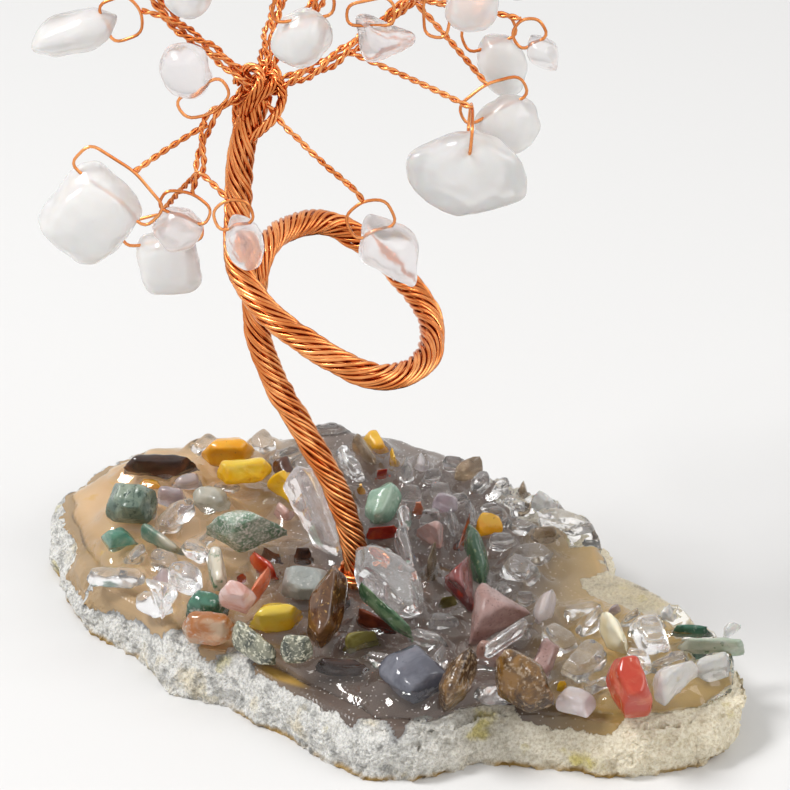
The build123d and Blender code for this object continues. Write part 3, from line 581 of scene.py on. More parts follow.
# limb, stem point and twig's end, near and far arm and drop of the eye in
# millimetres, then the turn, dip and roll of the bore in degrees
twig_ends = (
    ("lower_left_limb", 2, (-15.2, -6.9, -7.4), 6.4, 6.0, 4.7, 0, 44, 0),
    ("front_limb", 3, (12.5, -5.9, -11.7), 3.0, 2.7, 4.6, 0, -24, 0),
    ("main_limb", 3, (5.7, -8.9, 17.0), 3.9, 3.8, 4.0, 20, 0, 0),
    ("main_limb", 2, (15.4, -10.2, 16.3), 4.6, 1.0, 3.6, 0, 0, 0),
    ("right_limb", 3, (27.6, -0.7, 1.6), 4.4, 4.2, 4.0, 10, -25, 0),
    ("right_limb", 3, (27.0, 8.2, 7.2), 3.2, 3.5, 4.3, 0, -22, 0),
    ("left_limb", 4, (-26.4, -7.9, 26.9), 3.0, 3.2, 4.0, 50, 0, 0),
    ("back_limb", 2, (-3.5, 25.1, 14.1), 3.1, 3.4, 4.0, 80, 0, 0),
    ("right_limb", 5, (45.8, -5.3, 28.2), 3.5, 3.4, 4.1, 60, 0, 0),
    ("left_limb", 2, (-14.5, 4.0, 9.3), 2.6, 2.8, 4.9, 0, 70, 0),
    ("lower_left_limb", 1, (-5.7, -3.3, -1.3), 3.3, 3.2, 3.8, 0, 150, 0),
    ("lower_left_limb", 3, (-8.4, -4.6, -11.2), 3.2, 3.1, 3.6, 0, 24, 0),
    ("lower_left_limb", 3, (-4.0, -7.9, -10.6), 2.3, 2.4, 3.9, 0, -17, 0),
    ("lower_left_limb", 3, (-12.8, 1.3, -16.6), 5.2, 4.9, 4.1, 0, -5, 0),
    ("right_limb", 2, (25.8, -8.0, 1.3), 4.4, 4.4, 4.5, 90, 0, 5),
    ("right_limb", 3, (31.7, -1.3, 10.2), 2.0, 1.9, 3.6, 0, -30, 0),
    ("right_limb", 3, (29.9, 10.6, 16.6), 3.5, 3.4, 3.8, 30, -20, 0),
    ("right_limb", 3, (19.8, -5.0, 13.8), 4.2, 4.0, 3.6, 0, -80, 0),
    ("left_limb", 2, (-8.8, 2.0, 15.4), 2.9, 3.2, 4.0, 20, 170, 20),
    ("left_limb", 3, (-8.8, -6.6, 23.0), 3.5, 3.4, 4.0, 30, 0, -20),
    ("left_limb", 3, (-22.9, 5.3, 17.9), 3.9, 3.9, 4.0, 0, 60, 0),
    ("left_limb", 4, (-23.8, 4.0, 35.2), 3.6, 3.5, 4.1, 0, 120, 0),
    ("left_limb", 4, (-16.7, -9.2, 37.1), 2.6, 2.4, 4.0, 40, 160, 0),
    ("left_limb", 4, (-14.1, 5.3, 42.2), 3.2, 3.5, 4.0, 80, 170, 30),
    ("main_limb", 3, (0.0, -9.2, 30.7), 3.5, 3.4, 4.1, 60, 10, -40),
    ("main_limb", 3, (15.0, -10.6, 32.0), 3.2, 3.4, 4.1, 20, 0, -50),
    ("main_limb", 3, (17.6, 7.9, 37.1), 2.9, 3.2, 3.8, 70, 190, 30),
    ("main_limb", 4, (-4.4, 4.0, 51.2), 3.5, 3.4, 4.0, 10, 120, 0),
    ("main_limb", 4, (12.3, -6.6, 49.9), 3.9, 3.9, 4.0, 10, 200, 20),
    ("main_limb", 4, (12.3, 7.9, 52.5), 2.5, 2.3, 4.0, 80, 190, -20),
    ("main_limb", 5, (4.4, 0.0, 57.6), 2.9, 3.0, 4.0, 40, 180, 0),
    ("right_limb", 4, (31.7, -10.6, 28.2), 3.6, 3.5, 4.0, 30, 0, -45),
    ("right_limb", 4, (26.4, 10.6, 30.7), 3.1, 3.4, 4.0, 20, 180, 50),
    ("right_limb", 5, (44.0, 6.6, 37.1), 3.3, 3.2, 3.8, 0, 240, 0),
    ("right_limb", 5, (35.2, 0.0, 42.2), 4.6, 4.3, 4.0, 30, 180, 0),
    ("back_limb", 2, (14.1, 23.8, 12.8), 3.5, 3.4, 4.0, 10, 0, 60),
    ("back_limb", 3, (0.0, 29.0, 29.4), 2.9, 3.0, 4.0, 0, 180, 40),
    ("back_limb", 3, (15.8, 27.7, 29.4), 3.5, 3.4, 4.0, 30, 200, 30),
    ("back_limb", 3, (7.9, 21.1, 38.4), 3.1, 3.4, 4.0, 60, 180, 0),
)
thin_stem_pairs = {"front_limb": 1, "lower_left_limb": 2}
full_stem_pairs = 3
wires_a_pair = 2
pair_spreads = {1: 0.0, 2: 0.00045, 3: 0.00056}
pair_pitch = 0.0029
pair_reach = 0.00021
stem_pitch = 0.013
stem_stray = 0.0002
stem_step = 0.00027
twig_bow = Vector((0, 0, 0.0004))
eye_shoulder = 0.001
eye_round = 0.45
longest_round = 0.003
steps_a_bend = 4


def bore_ways(turn, dip, roll):
    """Directions of a bore and of the stone's hang below its twig."""
    turn, dip, roll = (math.radians(angle) for angle in (turn, dip, roll))
    bore = Vector((math.cos(dip) * math.cos(turn), math.cos(dip) * math.sin(turn), -math.sin(dip)))
    hang = Vector((-math.sin(dip) * math.cos(turn), -math.sin(dip) * math.sin(turn), -math.cos(dip)))
    return bore, hang * math.cos(roll) + bore.cross(hang) * math.sin(roll)


def eye_path(end, bore, hang, near, far, drop):
    """One wire bent into an eye: down from the twig, through the bore and back."""
    shoulder = end + hang * eye_shoulder
    foot = end + hang * drop
    corners = [end, shoulder - bore * near, foot - bore * near,
               foot + bore * far, shoulder + bore * far]
    path = []
    for number, corner in enumerate(corners):
        before = corners[number - 1] - corner
        after = corners[(number + 1) % len(corners)] - corner
        ease = eye_round * min(before.length, after.length, longest_round)
        came = corner + before.normalized() * ease
        goes = corner + after.normalized() * ease
        for step in range(steps_a_bend + 1):
            share = step / steps_a_bend
            path.append(came.lerp(corner, share).lerp(corner.lerp(goes, share), share))
    return path


for limb_name, route in limb_routes.items():
    stem = [from_knot(spot) for spot in route]
    stem_line = along_spline(stem, stem_step)
    wires = []
    pairs = thin_stem_pairs.get(limb_name, full_stem_pairs)
    for pair in range(pairs):
        phase = full_turn * pair / pairs
        pair_line = wound(stem_line, pair_spreads[pairs], stem_pitch, phase, stem_stray)
        wires += bundle(pair_line, wires_a_pair, pair_reach, pair_pitch, wire_radius, pair)
    for number, (owner, leaves, end, near, far, drop, turn, dip, roll) in enumerate(twig_ends):
        if owner != limb_name:
            continue
        end = from_knot(end)
        bore, hang = bore_ways(turn, dip, roll)
        start = min(stem_line, key=lambda spot: (spot - stem[leaves]).length)
        middle = (start + end) / 2 + twig_bow
        twig_line = along_spline([start, middle, end], wire_step)
        wires += bundle(twig_line, wires_a_pair, pair_reach, pair_pitch, wire_radius, number)
        arms = near * millimetre, far * millimetre, drop * millimetre
        wires.append((eye_path(end, bore, hang, *arms), wire_radius, True))
    limb = drawn_wires(limb_name + "_wires", wires)
    limb.data.materials.append(copper)
    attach(limb, "tree")
    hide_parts(limb_name)

# Clear and milky quartz. Broken quartz, rounded in a tumbler until its edges
# are soft and its skin glossy. Those of the crown are drilled and hang on the
# eyes, and those of the slice lie bedded in resin.

wear_a_round = 0.5


def tumbled(name, node, cell, rounds, dents, seed, grit=0.0, fuller=0.0):
    """Stones worn from their CAD solids: edges rounded, faces gently dented."""
    stones = evened(name, closed_copy(node), cell)
    for _ in range(rounds):
        bmesh.ops.smooth_vert(stones, verts=stones.verts, factor=wear_a_round,
                              use_axis_x=True, use_axis_y=True, use_axis_z=True)
    stones.normal_update()
    shift = Vector((seed, 2.3 * seed, 5.1 * seed))
    moves = []
    for point in stones.verts:
        dent = noise.noise(point.co * 260 + shift) + 0.5 * noise.noise(point.co * 610 - shift)
        chip = abs(noise.noise(point.co * 1500 + shift))
        moves.append(point.normal * (fuller + dents * (dent - 0.6) - grit * chip))
    for point, move in zip(stones.verts, moves):
        point.co += move
    for face in stones.faces:
        face.smooth = True
    return set_down(name, stones)


def stone_groups():
    """Node groups that the stones share: clouds of colour, and a tumbled skin."""
    clouds = bpy.data.node_groups.new("stone_clouds", "ShaderNodeTree")
    for socket in ("Ground", "Cloud", "Fleck"):
        clouds.interface.new_socket(socket, in_out="INPUT", socket_type="NodeSocketColor")
    for socket in ("Clouds to the metre", "Cloud share", "Flecks to the metre", "Fleck share"):
        clouds.interface.new_socket(socket, in_out="INPUT", socket_type="NodeSocketFloat")
    clouds.interface.new_socket("Colour", in_out="OUTPUT", socket_type="NodeSocketColor")
    given = clouds.nodes.new("NodeGroupInput")
    result = clouds.nodes.new("NodeGroupOutput")
    where = place_output(clouds)
    layers = []
    for grains, share, soft, warp in (("Clouds to the metre", "Cloud share", 0.12, 0.6),
                                      ("Flecks to the metre", "Fleck share", 0.06, 0.1)):
        grain = add_node(clouds, "ShaderNodeTexNoise",
                         inputs={"Detail": 5.0, "Roughness": 0.6, "Distortion": warp})
        clouds.links.new(where, grain.inputs["Vector"])
        clouds.links.new(given.outputs[grains], grain.inputs["Scale"])
        edge = add_node(clouds, "ShaderNodeMath", operation="ADD")
        clouds.links.new(grain.outputs["Fac"], edge.inputs[0])
        clouds.links.new(given.outputs[share], edge.inputs[1])
        layers.append(stepped(clouds, edge.outputs[0], 1 - soft, 1 + soft))
    ground = blended(clouds, layers[0], given.outputs["Ground"], given.outputs["Cloud"])
    clouds.links.new(blended(clouds, layers[1], ground, given.outputs["Fleck"]), result.inputs["Colour"])
    skin = bpy.data.node_groups.new("tumbled_skin", "ShaderNodeTree")
    skin.interface.new_socket("Marks to the metre", in_out="INPUT", socket_type="NodeSocketFloat")
    skin.interface.new_socket("Height", in_out="OUTPUT", socket_type="NodeSocketFloat")
    given = skin.nodes.new("NodeGroupInput")
    result = skin.nodes.new("NodeGroupOutput")
    marks = add_node(skin, "ShaderNodeTexNoise",
                     inputs={"Detail": 3.0, "Roughness": 0.5, "Distortion": 0.4})
    skin.links.new(place_output(skin), marks.inputs["Vector"])
    skin.links.new(given.outputs["Marks to the metre"], marks.inputs["Scale"])
    skin.links.new(marks.outputs["Fac"], result.inputs["Height"])
    return clouds, skin


cloud_group, skin_group = stone_groups()
quartz_bend = 1.54
mark_depth = 0.0003


def stone_finish(name, ground, cloud, fleck, cloud_grain, cloud_share, fleck_grain, fleck_share,
                 clear, depth, gloss, marks, relief):
    """Polished stone: its colours, how clear, how deep and how glossy it is."""
    material, tree, shader = blank_material(name)
    clouds = add_node(tree, "ShaderNodeGroup", node_tree=cloud_group)
    set_inputs(clouds, {"Ground": (*ground, 1), "Cloud": (*cloud, 1), "Fleck": (*fleck, 1),
                        "Clouds to the metre": cloud_grain, "Cloud share": cloud_share,
                        "Flecks to the metre": fleck_grain, "Fleck share": fleck_share})
    tree.links.new(clouds.outputs["Colour"], shader.inputs["Base Color"])
    skin = add_node(tree, "ShaderNodeGroup", node_tree=skin_group)
    set_inputs(skin, {"Marks to the metre": marks})
    give_relief(tree, shader, skin.outputs["Height"], relief, mark_depth)
    set_inputs(shader, {"Roughness": gloss, "IOR": quartz_bend, "Transmission Weight": clear,
                        "Subsurface Weight": depth, "Subsurface Radius": (0.003, 0.0024, 0.002)})
    return material


def finish_stones(piece, nodes, finish, body="tree"):
    """Gives stones their finish and their body, and hides the CAD solids they stand for."""
    piece.data.materials.append(finish)
    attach(piece, body)
    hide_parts(*nodes)


same_chip = 2


def recolour(piece, odd):
    """Gives the chips of a group that lie at some places another finish."""
    shell = bmesh.new()
    shell.from_mesh(piece.data)
    loose = set(shell.faces)
    while loose:
        chip = [loose.pop()]
        for face in chip:
            for edge in face.edges:
                for other in edge.link_faces:
                    if other in loose:
                        loose.remove(other)
                        chip.append(other)
        middle = sum((face.calc_center_median() for face in chip), Vector())
        middle = middle * in_millimetres / len(chip)
        for number, (x, y, _) in enumerate(odd, 1):
            if math.hypot(middle.x - x, middle.y - y) < same_chip:
                for face in chip:
                    face.material_index = number
    shell.to_mesh(piece.data)
    shell.free()
    for _, _, finish in odd:
        piece.data.materials.append(finish)


# ground, cloud and fleck colours, clouds and flecks to the metre with their
# shares, clearness, depth, roughness, skin marks to the metre and their relief
clear_quartz = stone_finish("clear_quartz", (0.97, 0.96, 0.96), (0.99, 0.99, 0.99), (0.86, 0.85, 0.86),
                            180, 0.45, 500, 0.3, 0.92, 0.0, 0.05, 520, 0.6)
shell_quartz = stone_finish("shell_quartz", (0.97, 0.97, 0.97), (0.99, 0.99, 0.99), (0.8, 0.8, 0.82),
                            120, 0.45, 420, 0.33, 0.86, 0.0, 0.05, 260, 0.4)
drop_quartz = stone_finish("drop_quartz", (0.97, 0.955, 0.955), (0.97, 0.93, 0.94), (0.9, 0.9, 0.94),
                           130, 0.5, 420, 0.32, 0.82, 0.2, 0.22, 330, 0.8)
milky_quartz = stone_finish("milky_quartz", (0.95, 0.93, 0.91), (0.975, 0.965, 0.955), (0.92, 0.9, 0.88),
                            110, 0.5, 420, 0.28, 0.45, 0.5, 0.16, 240, 0.2)
rose_quartz = stone_finish("rose_quartz", (0.95, 0.89, 0.88), (0.975, 0.95, 0.945), (0.9, 0.78, 0.77),
                           160, 0.5, 500, 0.3, 0.72, 0.3, 0.12, 380, 0.6)

crown_cell = 0.00036
crown_dents = 0.00034
crown_fuller = 0.00045
tight_seed = 3.0
# finish, slot, and rounds of wear of a loose stone and of a tight one
crown_kinds = {
    "clear": (drop_quartz, "clear_quartz", 40, 40),
    "milky": (milky_quartz, "milky_quartz", 110, 110),
    "rose": (rose_quartz, "rose_quartz", 40, 50),
}
loose_kinds = ("milky", "clear", "milky", "rose", "milky", "milky", "clear", "clear", "milky")
for number, kind in enumerate(loose_kinds, 1):
    finish, slot, rounds, _ = crown_kinds[kind]
    node = f"hung_stone_{number}"
    loose = tumbled(f"loose_quartz_{number}", node, crown_cell, rounds, crown_dents, float(number),
                    fuller=crown_fuller)
    finish_stones(loose, (node,), finish, f"loose_stone_{number}")
for kind, (finish, slot, _, rounds) in crown_kinds.items():
    node = kind + "_crown_stones"
    tight = tumbled(kind + "_crown_quartz", node, crown_cell, rounds, crown_dents, tight_seed,
                    fuller=crown_fuller)
    finish_stones(tight, (node,), finish)

bedded_cell = 0.00028
bedded_rounds = 11
quartz_dents = 0.00032
large_cell = 0.00025
for node in ("clear_stones_left", "clear_stones_back", "clear_stones_right"):
    bedded = tumbled(node.replace("_stones", "_chips"), node, bedded_cell, bedded_rounds,
                     quartz_dents, seed=5.0)
    finish_stones(bedded, (node,), clear_quartz)
shell = tumbled("clear_quartz_shell_chip", "clear_quartz_shell", large_cell, rounds=26, dents=0.0005,
                seed=6.0, grit=0.00004)
finish_stones(shell, ("clear_quartz_shell",), shell_quartz)
milky = tumbled("milky_chips", "milky_stones", bedded_cell, bedded_rounds, quartz_dents, seed=7.0)
chip_quartz = stone_finish("chip_quartz", (0.93, 0.92, 0.9), (0.97, 0.97, 0.96), (0.86, 0.8, 0.66),
                           170, 0.5, 520, 0.33, 0.62, 0.4, 0.1, 700, 0.7)
finish_stones(milky, ("milky_stones",), chip_quartz)
recolour(milky, ((-29.9, -17.2, clear_quartz), (12.3, -36.2, clear_quartz)))
wedge = tumbled("rose_quartz_chip", "rose_quartz_wedge", large_cell, rounds=22, dents=0.0003, seed=8.0)
wedge_quartz = stone_finish("wedge_quartz", (0.96, 0.89, 0.88), (0.985, 0.965, 0.96), (0.93, 0.78, 0.76),
                            140, 0.5, 420, 0.33, 0.84, 0.1, 0.07, 330, 0.7)
finish_stones(wedge, ("rose_quartz_wedge",), wedge_quartz)

# Coloured chips. Agate, jasper, jade, aventurine, citrine and tiger's eye,
# tumbled and glossy, each scattered on the slice and bedded in the resin.

# node and slot, then the finish as for the quartz above
coloured_chips = (
    ("amber_stones", "amber_agate", (0.92, 0.42, 0.008), (0.95, 0.56, 0.04), (0.14, 0.05, 0.016),
     190, 0.5, 1300, 0.3, 0.3, 0.3, 0.1, 700, 0.5),
    ("yellow_stones", "yellow_quartz", (0.97, 0.57, 0.008), (0.99, 0.73, 0.08), (0.7, 0.32, 0.006),
     150, 0.49, 700, 0.31, 0.4, 0.3, 0.08, 600, 0.5),
    # dark agate, its colours partly painted shade, darkened for the black gaps round the rope's foot
    ("dark_stones", "dark_agate", (0.03, 0.014, 0.01), (0.17, 0.052, 0.02), (0.24, 0.15, 0.11),
     110, 0.47, 900, 0.24, 0.0, 0.0, 0.14, 900, 0.4),
    ("smoky_stones", "smoky_quartz", (0.34, 0.24, 0.15), (0.62, 0.5, 0.36), (0.12, 0.07, 0.04),
     200, 0.48, 600, 0.33, 0.65, 0.1, 0.08, 700, 0.6),
    ("red_stones", "red_agate", (0.4, 0.016, 0.006), (0.7, 0.085, 0.012), (0.1, 0.005, 0.004),
     230, 0.48, 700, 0.3, 0.25, 0.2, 0.08, 700, 0.5),
    ("red_agate_block", "banded_red_agate", (0.52, 0.045, 0.016), (0.64, 0.15, 0.07), (0.8, 0.55, 0.44),
     330, 0.44, 620, 0.3, 0.15, 0.3, 0.09, 500, 0.4),
    ("orange_stones", "orange_agate", (0.86, 0.18, 0.04), (0.9, 0.36, 0.2), (0.55, 0.05, 0.01),
     210, 0.5, 700, 0.3, 0.45, 0.3, 0.08, 700, 0.6),
    ("pink_stones", "pink_quartz", (0.78, 0.42, 0.35), (0.9, 0.7, 0.66), (0.55, 0.2, 0.15),
     190, 0.52, 700, 0.3, 0.45, 0.3, 0.1, 700, 0.6),
    ("moss_agate_lens", "moss_agate", (0.46, 0.55, 0.45), (0.17, 0.32, 0.21), (0.84, 0.88, 0.82),
     420, 0.49, 2600, 0.46, 0.25, 0.2, 0.12, 1500, 1.0),
    ("speckled_stones", "speckled_jasper", (0.26, 0.26, 0.19), (0.055, 0.065, 0.05), (0.62, 0.6, 0.47),
     330, 0.5, 2300, 0.44, 0.0, 0.1, 0.12, 1200, 0.5),
    ("dark_green_stones", "dark_green_jasper", (0.018, 0.085, 0.052), (0.08, 0.24, 0.16), (0.62, 0.7, 0.64),
     240, 0.48, 900, 0.38, 0.25, 0.1, 0.08, 700, 0.5),
    ("grey_green_stones", "grey_green_jasper", (0.095, 0.15, 0.115), (0.25, 0.31, 0.24), (0.045, 0.08, 0.06),
     300, 0.49, 1500, 0.42, 0.05, 0.1, 0.16, 1100, 0.7),
    ("teal_stone", "teal_quartz", (0.1, 0.36, 0.27), (0.48, 0.7, 0.6), (0.05, 0.2, 0.16),
     260, 0.5, 700, 0.33, 0.6, 0.2, 0.07, 600, 0.5),
    ("pale_jade_leaf", "pale_jade", (0.2, 0.37, 0.27), (0.4, 0.55, 0.43), (0.72, 0.8, 0.72),
     230, 0.5, 1400, 0.36, 0.15, 0.3, 0.14, 900, 0.4),
    ("dark_jade_leaf", "dark_jade", (0.025, 0.075, 0.038), (0.08, 0.16, 0.09), (0.2, 0.26, 0.13),
     230, 0.48, 1600, 0.38, 0.05, 0.1, 0.08, 900, 0.5),
    ("green_stick", "green_aventurine", (0.045, 0.1, 0.05), (0.16, 0.25, 0.13), (0.4, 0.48, 0.32),
     270, 0.5, 1100, 0.36, 0.1, 0.1, 0.09, 900, 0.4),
    ("pale_green_stones", "green_aventurine", (0.5, 0.62, 0.49), (0.74, 0.76, 0.66), (0.1, 0.24, 0.14),
     220, 0.5, 1100, 0.36, 0.45, 0.3, 0.1, 800, 0.5),
    ("cream_almond", "cream_agate", (0.8, 0.7, 0.44), (0.87, 0.83, 0.66), (0.6, 0.46, 0.22),
     200, 0.5, 700, 0.27, 0.05, 0.4, 0.12, 500, 0.2),
    ("mauve_stones", "mauve_agate", (0.27, 0.15, 0.13), (0.4, 0.255, 0.23), (0.12, 0.06, 0.055),
     200, 0.5, 3000, 0.36, 0.15, 0.2, 0.13, 1300, 0.4),
    ("lilac_stones", "lilac_quartz", (0.66, 0.56, 0.62), (0.84, 0.8, 0.82), (0.4, 0.3, 0.37),
     230, 0.5, 700, 0.28, 0.7, 0.2, 0.08, 600, 0.5),
    ("tiger_eye_fang", "tiger_eye", (0.062, 0.024, 0.008), (0.15, 0.064, 0.019), (0.4, 0.23, 0.07),
     300, 0.5, 1400, 0.36, 0.0, 0.0, 0.1, 600, 0.4),
    ("bronze_stones", "bronze_agate", (0.07, 0.034, 0.014), (0.3, 0.15, 0.035), (0.44, 0.32, 0.2),
     260, 0.5, 1300, 0.42, 0.3, 0.1, 0.09, 900, 1.0),
    ("red_brown_stones", "red_brown_jasper", (0.13, 0.022, 0.012), (0.34, 0.07, 0.02), (0.04, 0.012, 0.008),
     230, 0.48, 700, 0.35, 0.1, 0.1, 0.08, 800, 0.5),
    ("olive_stones", "olive_agate", (0.24, 0.2, 0.04), (0.44, 0.38, 0.1), (0.07, 0.055, 0.02),
     230, 0.5, 700, 0.33, 0.45, 0.1, 0.08, 700, 0.5),
    ("brown_pink_stone", "brown_pink_agate", (0.34, 0.18, 0.14), (0.56, 0.36, 0.3), (0.14, 0.06, 0.045),
     260, 0.5, 700, 0.33, 0.25, 0.2, 0.09, 800, 0.5),
    ("streaked_stone", "streaked_quartz", (0.84, 0.66, 0.46), (0.66, 0.24, 0.055), (0.95, 0.9, 0.84),
     300, 0.51, 900, 0.36, 0.6, 0.2, 0.07, 500, 0.4),
    ("blue_grey_stone", "blue_grey_agate", (0.115, 0.118, 0.15), (0.215, 0.22, 0.262), (0.06, 0.062, 0.078),
     180, 0.5, 1300, 0.3, 0.25, 0.1, 0.07, 500, 0.5),
    ("red_jasper_pyramid", "red_jasper", (0.125, 0.016, 0.016), (0.24, 0.06, 0.056), (0.36, 0.025, 0.01),
     200, 0.5, 500, 0.36, 0.05, 0.1, 0.08, 800, 0.4),
)
leaf_quartz = stone_finish("leaf_quartz", (0.8, 0.74, 0.6), (0.13, 0.27, 0.2), (0.93, 0.92, 0.86),
                           170, 0.42, 900, 0.34, 0.55, 0.2, 0.08, 600, 0.5)
grey_quartz = stone_finish("grey_quartz", (0.52, 0.53, 0.46), (0.7, 0.7, 0.62), (0.3, 0.33, 0.29),
                           200, 0.5, 900, 0.32, 0.55, 0.2, 0.12, 700, 0.5)
frosted_quartz = stone_finish("frosted_quartz", (0.44, 0.48, 0.46), (0.62, 0.65, 0.62), (0.85, 0.86, 0.84),
                              160, 0.5, 1700, 0.36, 0.35, 0.2, 0.3, 1500, 0.5)
spotted_cream = stone_finish("spotted_cream", (0.86, 0.8, 0.66), (0.94, 0.91, 0.84), (0.06, 0.24, 0.13),
                             260, 0.5, 520, 0.42, 0.35, 0.3, 0.12, 700, 0.5)
blush_quartz = stone_finish("blush_quartz", (0.86, 0.76, 0.76), (0.93, 0.88, 0.88), (0.66, 0.5, 0.5),
                            200, 0.5, 700, 0.3, 0.65, 0.3, 0.08, 600, 0.6)
# node and its chips of another finish, each with its place in millimetres
odd_chips = {
    "grey_green_stones": ((-31.2, -0.2, leaf_quartz), (-25.2, 11.7, grey_quartz),
                          (-11.6, -12.6, frosted_quartz)),
    "pale_green_stones": ((-34.3, -3.2, clear_quartz), (-26.3, -4.7, clear_quartz),
                          (-23.2, -10.3, spotted_cream), (24.1, -16.3, clear_quartz),
                          (32.4, -26.3, clear_quartz)),
    "mauve_stones": ((14.7, 15.8, clear_quartz), (18.2, -2.6, clear_quartz),
                     (22.3, -38.6, blush_quartz)),
    "pink_stones": ((19.2, -18.3, blush_quartz), (3.6, 22.9, blush_quartz)),
}
chip_dents = 0.00028
first_chip_seed = 10.0
for number, (node, slot, *look) in enumerate(coloured_chips):
    finish = stone_finish(node.replace("_stones", "") + "_polish", *look)
    chips = tumbled(node + "_tumbled", node, bedded_cell, bedded_rounds, chip_dents,
                    first_chip_seed + number)
    finish_stones(chips, (node,), finish)
    if node in odd_chips:
        recolour(chips, odd_chips[node])

# Poured resin. Clear resin is run over the polished face when the chips lie on
# it. It creeps up each stone, fills the hollows between close ones, and thins
# out short of the rind.

face_height = 0.007
resin_depth = 0.001
resin_foot = 0.00695
foot_below = 0.0072
root_opening = 0.003
far_from_rim = 0.01
rag_reach = 0.0035
shore_reach = 0.002
stone_middle = 0.0084
stone_shoulder = 0.01
creep_height = 0.001
creep_reach = 0.0009
pool_height = 0.0013
pool_reach = 0.0032
ripple_height = 0.0001
thinnest_resin = 0.00006
full_creep = 0.0016

chip_endings = ("_stones", "_stone", "_left", "_back", "_right", "_block", "_lens", "_leaf",
                "_stick", "_almond", "_wedge", "_shell", "_fang", "_pyramid")
bedded_nodes = [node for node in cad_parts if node.endswith(chip_endings)
                and "crown" not in node and not node.startswith("hung")]
stone_field = closed_copy(*bedded_nodes)
stone_tree = BVHTree.FromBMesh(stone_field)
stone_field.free()
resin = evened("resin_sheet", closed_copy("resin_glaze"), sheet_cell)
resin.verts.index_update()
resin_side = side_finder(resin)
creep_layer = resin.verts.layers.float.new("creep")
root = Vector((root_x, root_y, 0))
for point in resin.verts:
    place = point.co.copy()
    near, outward, _, rim_gap = resin_side.find_nearest(place)
    if (Vector((near.x, near.y, 0)) - root).length < root_opening:
        rim_gap = far_from_rim
        outward = Vector((0, 0, 1))
    inward = -Vector((outward.x, outward.y, 0))
    point.co += inward * resin_rag(near) * fading(rim_gap, rag_reach)
    if place.z < foot_below:
        point.co.z = resin_foot
        continue
    stone_gap = stone_tree.find_nearest(Vector((place.x, place.y, stone_middle)))[3]
    shoulder_gap = stone_tree.find_nearest(Vector((place.x, place.y, stone_shoulder)))[3]
    creep = creep_height * math.exp(-stone_gap / creep_reach)
    pool = pool_height * fading(shoulder_gap, pool_reach) ** 2
    ripple = ripple_height * noise.noise(place * 160)
    thin = clamp(rim_gap / shore_reach)
    swell = resin_depth * math.sqrt(1 - (1 - thin) ** 2) + creep + pool + ripple * thin
    share = (place.z - face_height) / resin_depth
    point.co.z = face_height + share * max(swell, thinnest_resin)
    point[creep_layer] = clamp((creep + pool) / full_creep)
for face in resin.faces:
    face.smooth = True
resin_sheet = set_down("resin_sheet", resin)

poured, tree, shader = blank_material("poured_resin")
place = place_output(tree)
split_place = add_node(tree, "ShaderNodeSeparateXYZ")
tree.links.new(place, split_place.inputs["Vector"])
yellowing = stepped(tree, split_place.outputs["X"], 0.016, 0.036)
resin_colour = blended(tree, yellowing, (0.98, 0.97, 0.95), (0.97, 0.93, 0.82))
resin_colour = blended(tree, carried(tree, "creep"), resin_colour, (0.97, 0.96, 0.95))
tree.links.new(resin_colour, shader.inputs["Base Color"])
set_inputs(shader, {"Roughness": 0.02, "IOR": 1.5, "Transmission Weight": 1.0})
give_relief(tree, shader, noise_output(tree, place, 260, 2), 0.12, 0.0003)
resin_sheet.data.materials.append(poured)
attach(resin_sheet, "tree")
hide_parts("resin_glaze")

# Table top, light and camera. A white sheet under the tree in a white room, with
# a large soft lamp at the upper left and a weak one at the right, seen by a
# camera that looks down from the front.

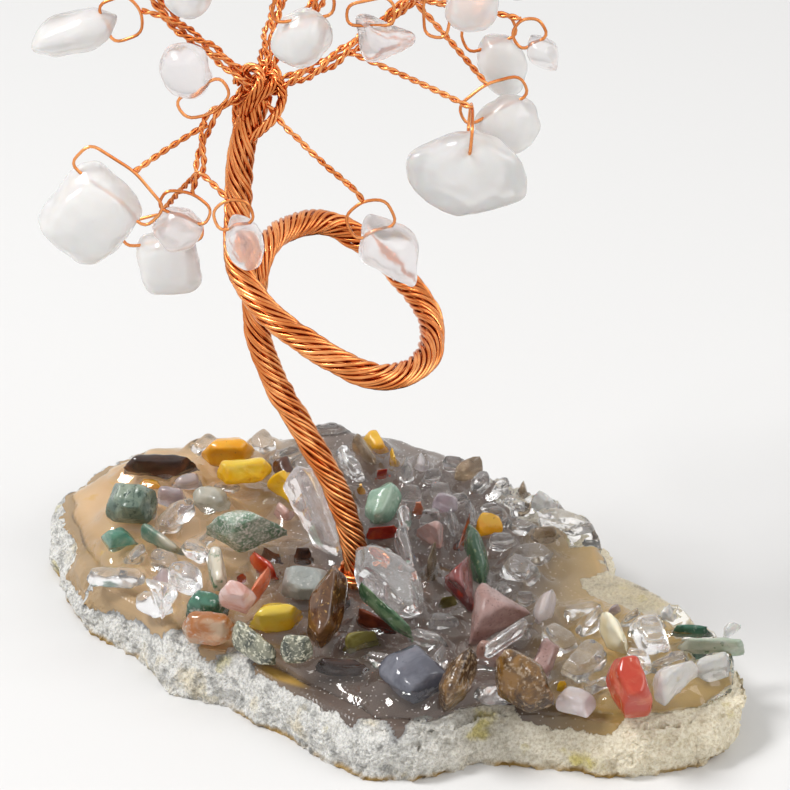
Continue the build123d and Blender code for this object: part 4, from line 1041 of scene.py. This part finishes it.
table_half = 3.0
floor_shell = bmesh.new()
bmesh.ops.create_grid(floor_shell, x_segments=1, y_segments=1, size=table_half)
floor = set_down("white_table", floor_shell)
table_white, tree, shader = blank_material("white_table")
set_inputs(shader, {"Base Color": (0.725, 0.722, 0.718, 1), "Roughness": 0.9,
                    "Specular IOR Level": 0.1})
floor.data.materials.append(table_white)

world = bpy.data.worlds.new("studio")
bpy.context.scene.world = world
world.use_nodes = True
tree = world.node_tree
tree.nodes.clear()
rays = tree.nodes.new("ShaderNodeLightPath")
shown = rays.outputs["Is Camera Ray"]
for ray in ("Is Transmission Ray", "Is Glossy Ray"):
    either = add_node(tree, "ShaderNodeMath", operation="MAXIMUM")
    tree.links.new(shown, either.inputs[0])
    tree.links.new(rays.outputs[ray], either.inputs[1])
    shown = either.outputs[0]
strength = add_node(tree, "ShaderNodeMapRange", inputs={"To Min": 0.6, "To Max": 1.0})
tree.links.new(shown, strength.inputs["Value"])
room = add_node(tree, "ShaderNodeBackground", inputs={"Color": (1.0, 0.995, 0.985, 1)})
tree.links.new(strength.outputs["Result"], room.inputs["Strength"])
world_output = tree.nodes.new("ShaderNodeOutputWorld")
tree.links.new(room.outputs["Background"], world_output.inputs["Surface"])


def soft_lamp(name, spot, target, width, power):
    """Round area lamp at a spot, turned to a target."""
    lamp = bpy.data.lights.new(name, "AREA")
    lamp.shape = "DISK"
    lamp.size = width
    lamp.energy = power
    stand = placed(name, lamp)
    stand.location = spot
    stand.rotation_euler = (Vector(target) - Vector(spot)).to_track_quat("-Z", "Y").to_euler()


soft_lamp("key_lamp", (-0.54, -0.1, 0.83), (0, 0, 0.03), 0.34, 6.8)
soft_lamp("fill_lamp", (0.55, -0.22, 0.48), (0, 0, 0.04), 0.5, 1.6)

lens = bpy.data.cameras.new("photo_camera")
lens.lens = 150
lens.sensor_width = 36
lens.clip_start = 0.02
camera = placed("photo_camera", lens)
camera_reach = 0.43
look_down = math.radians(27)
look_at_height = 0.032
camera.location = (0, -camera_reach * math.cos(look_down),
                   look_at_height + camera_reach * math.sin(look_down))
camera.rotation_euler = (math.pi / 2 - look_down, 0, 0)
bpy.context.scene.camera = camera
bpy.context.scene.view_settings.view_transform = "Standard"
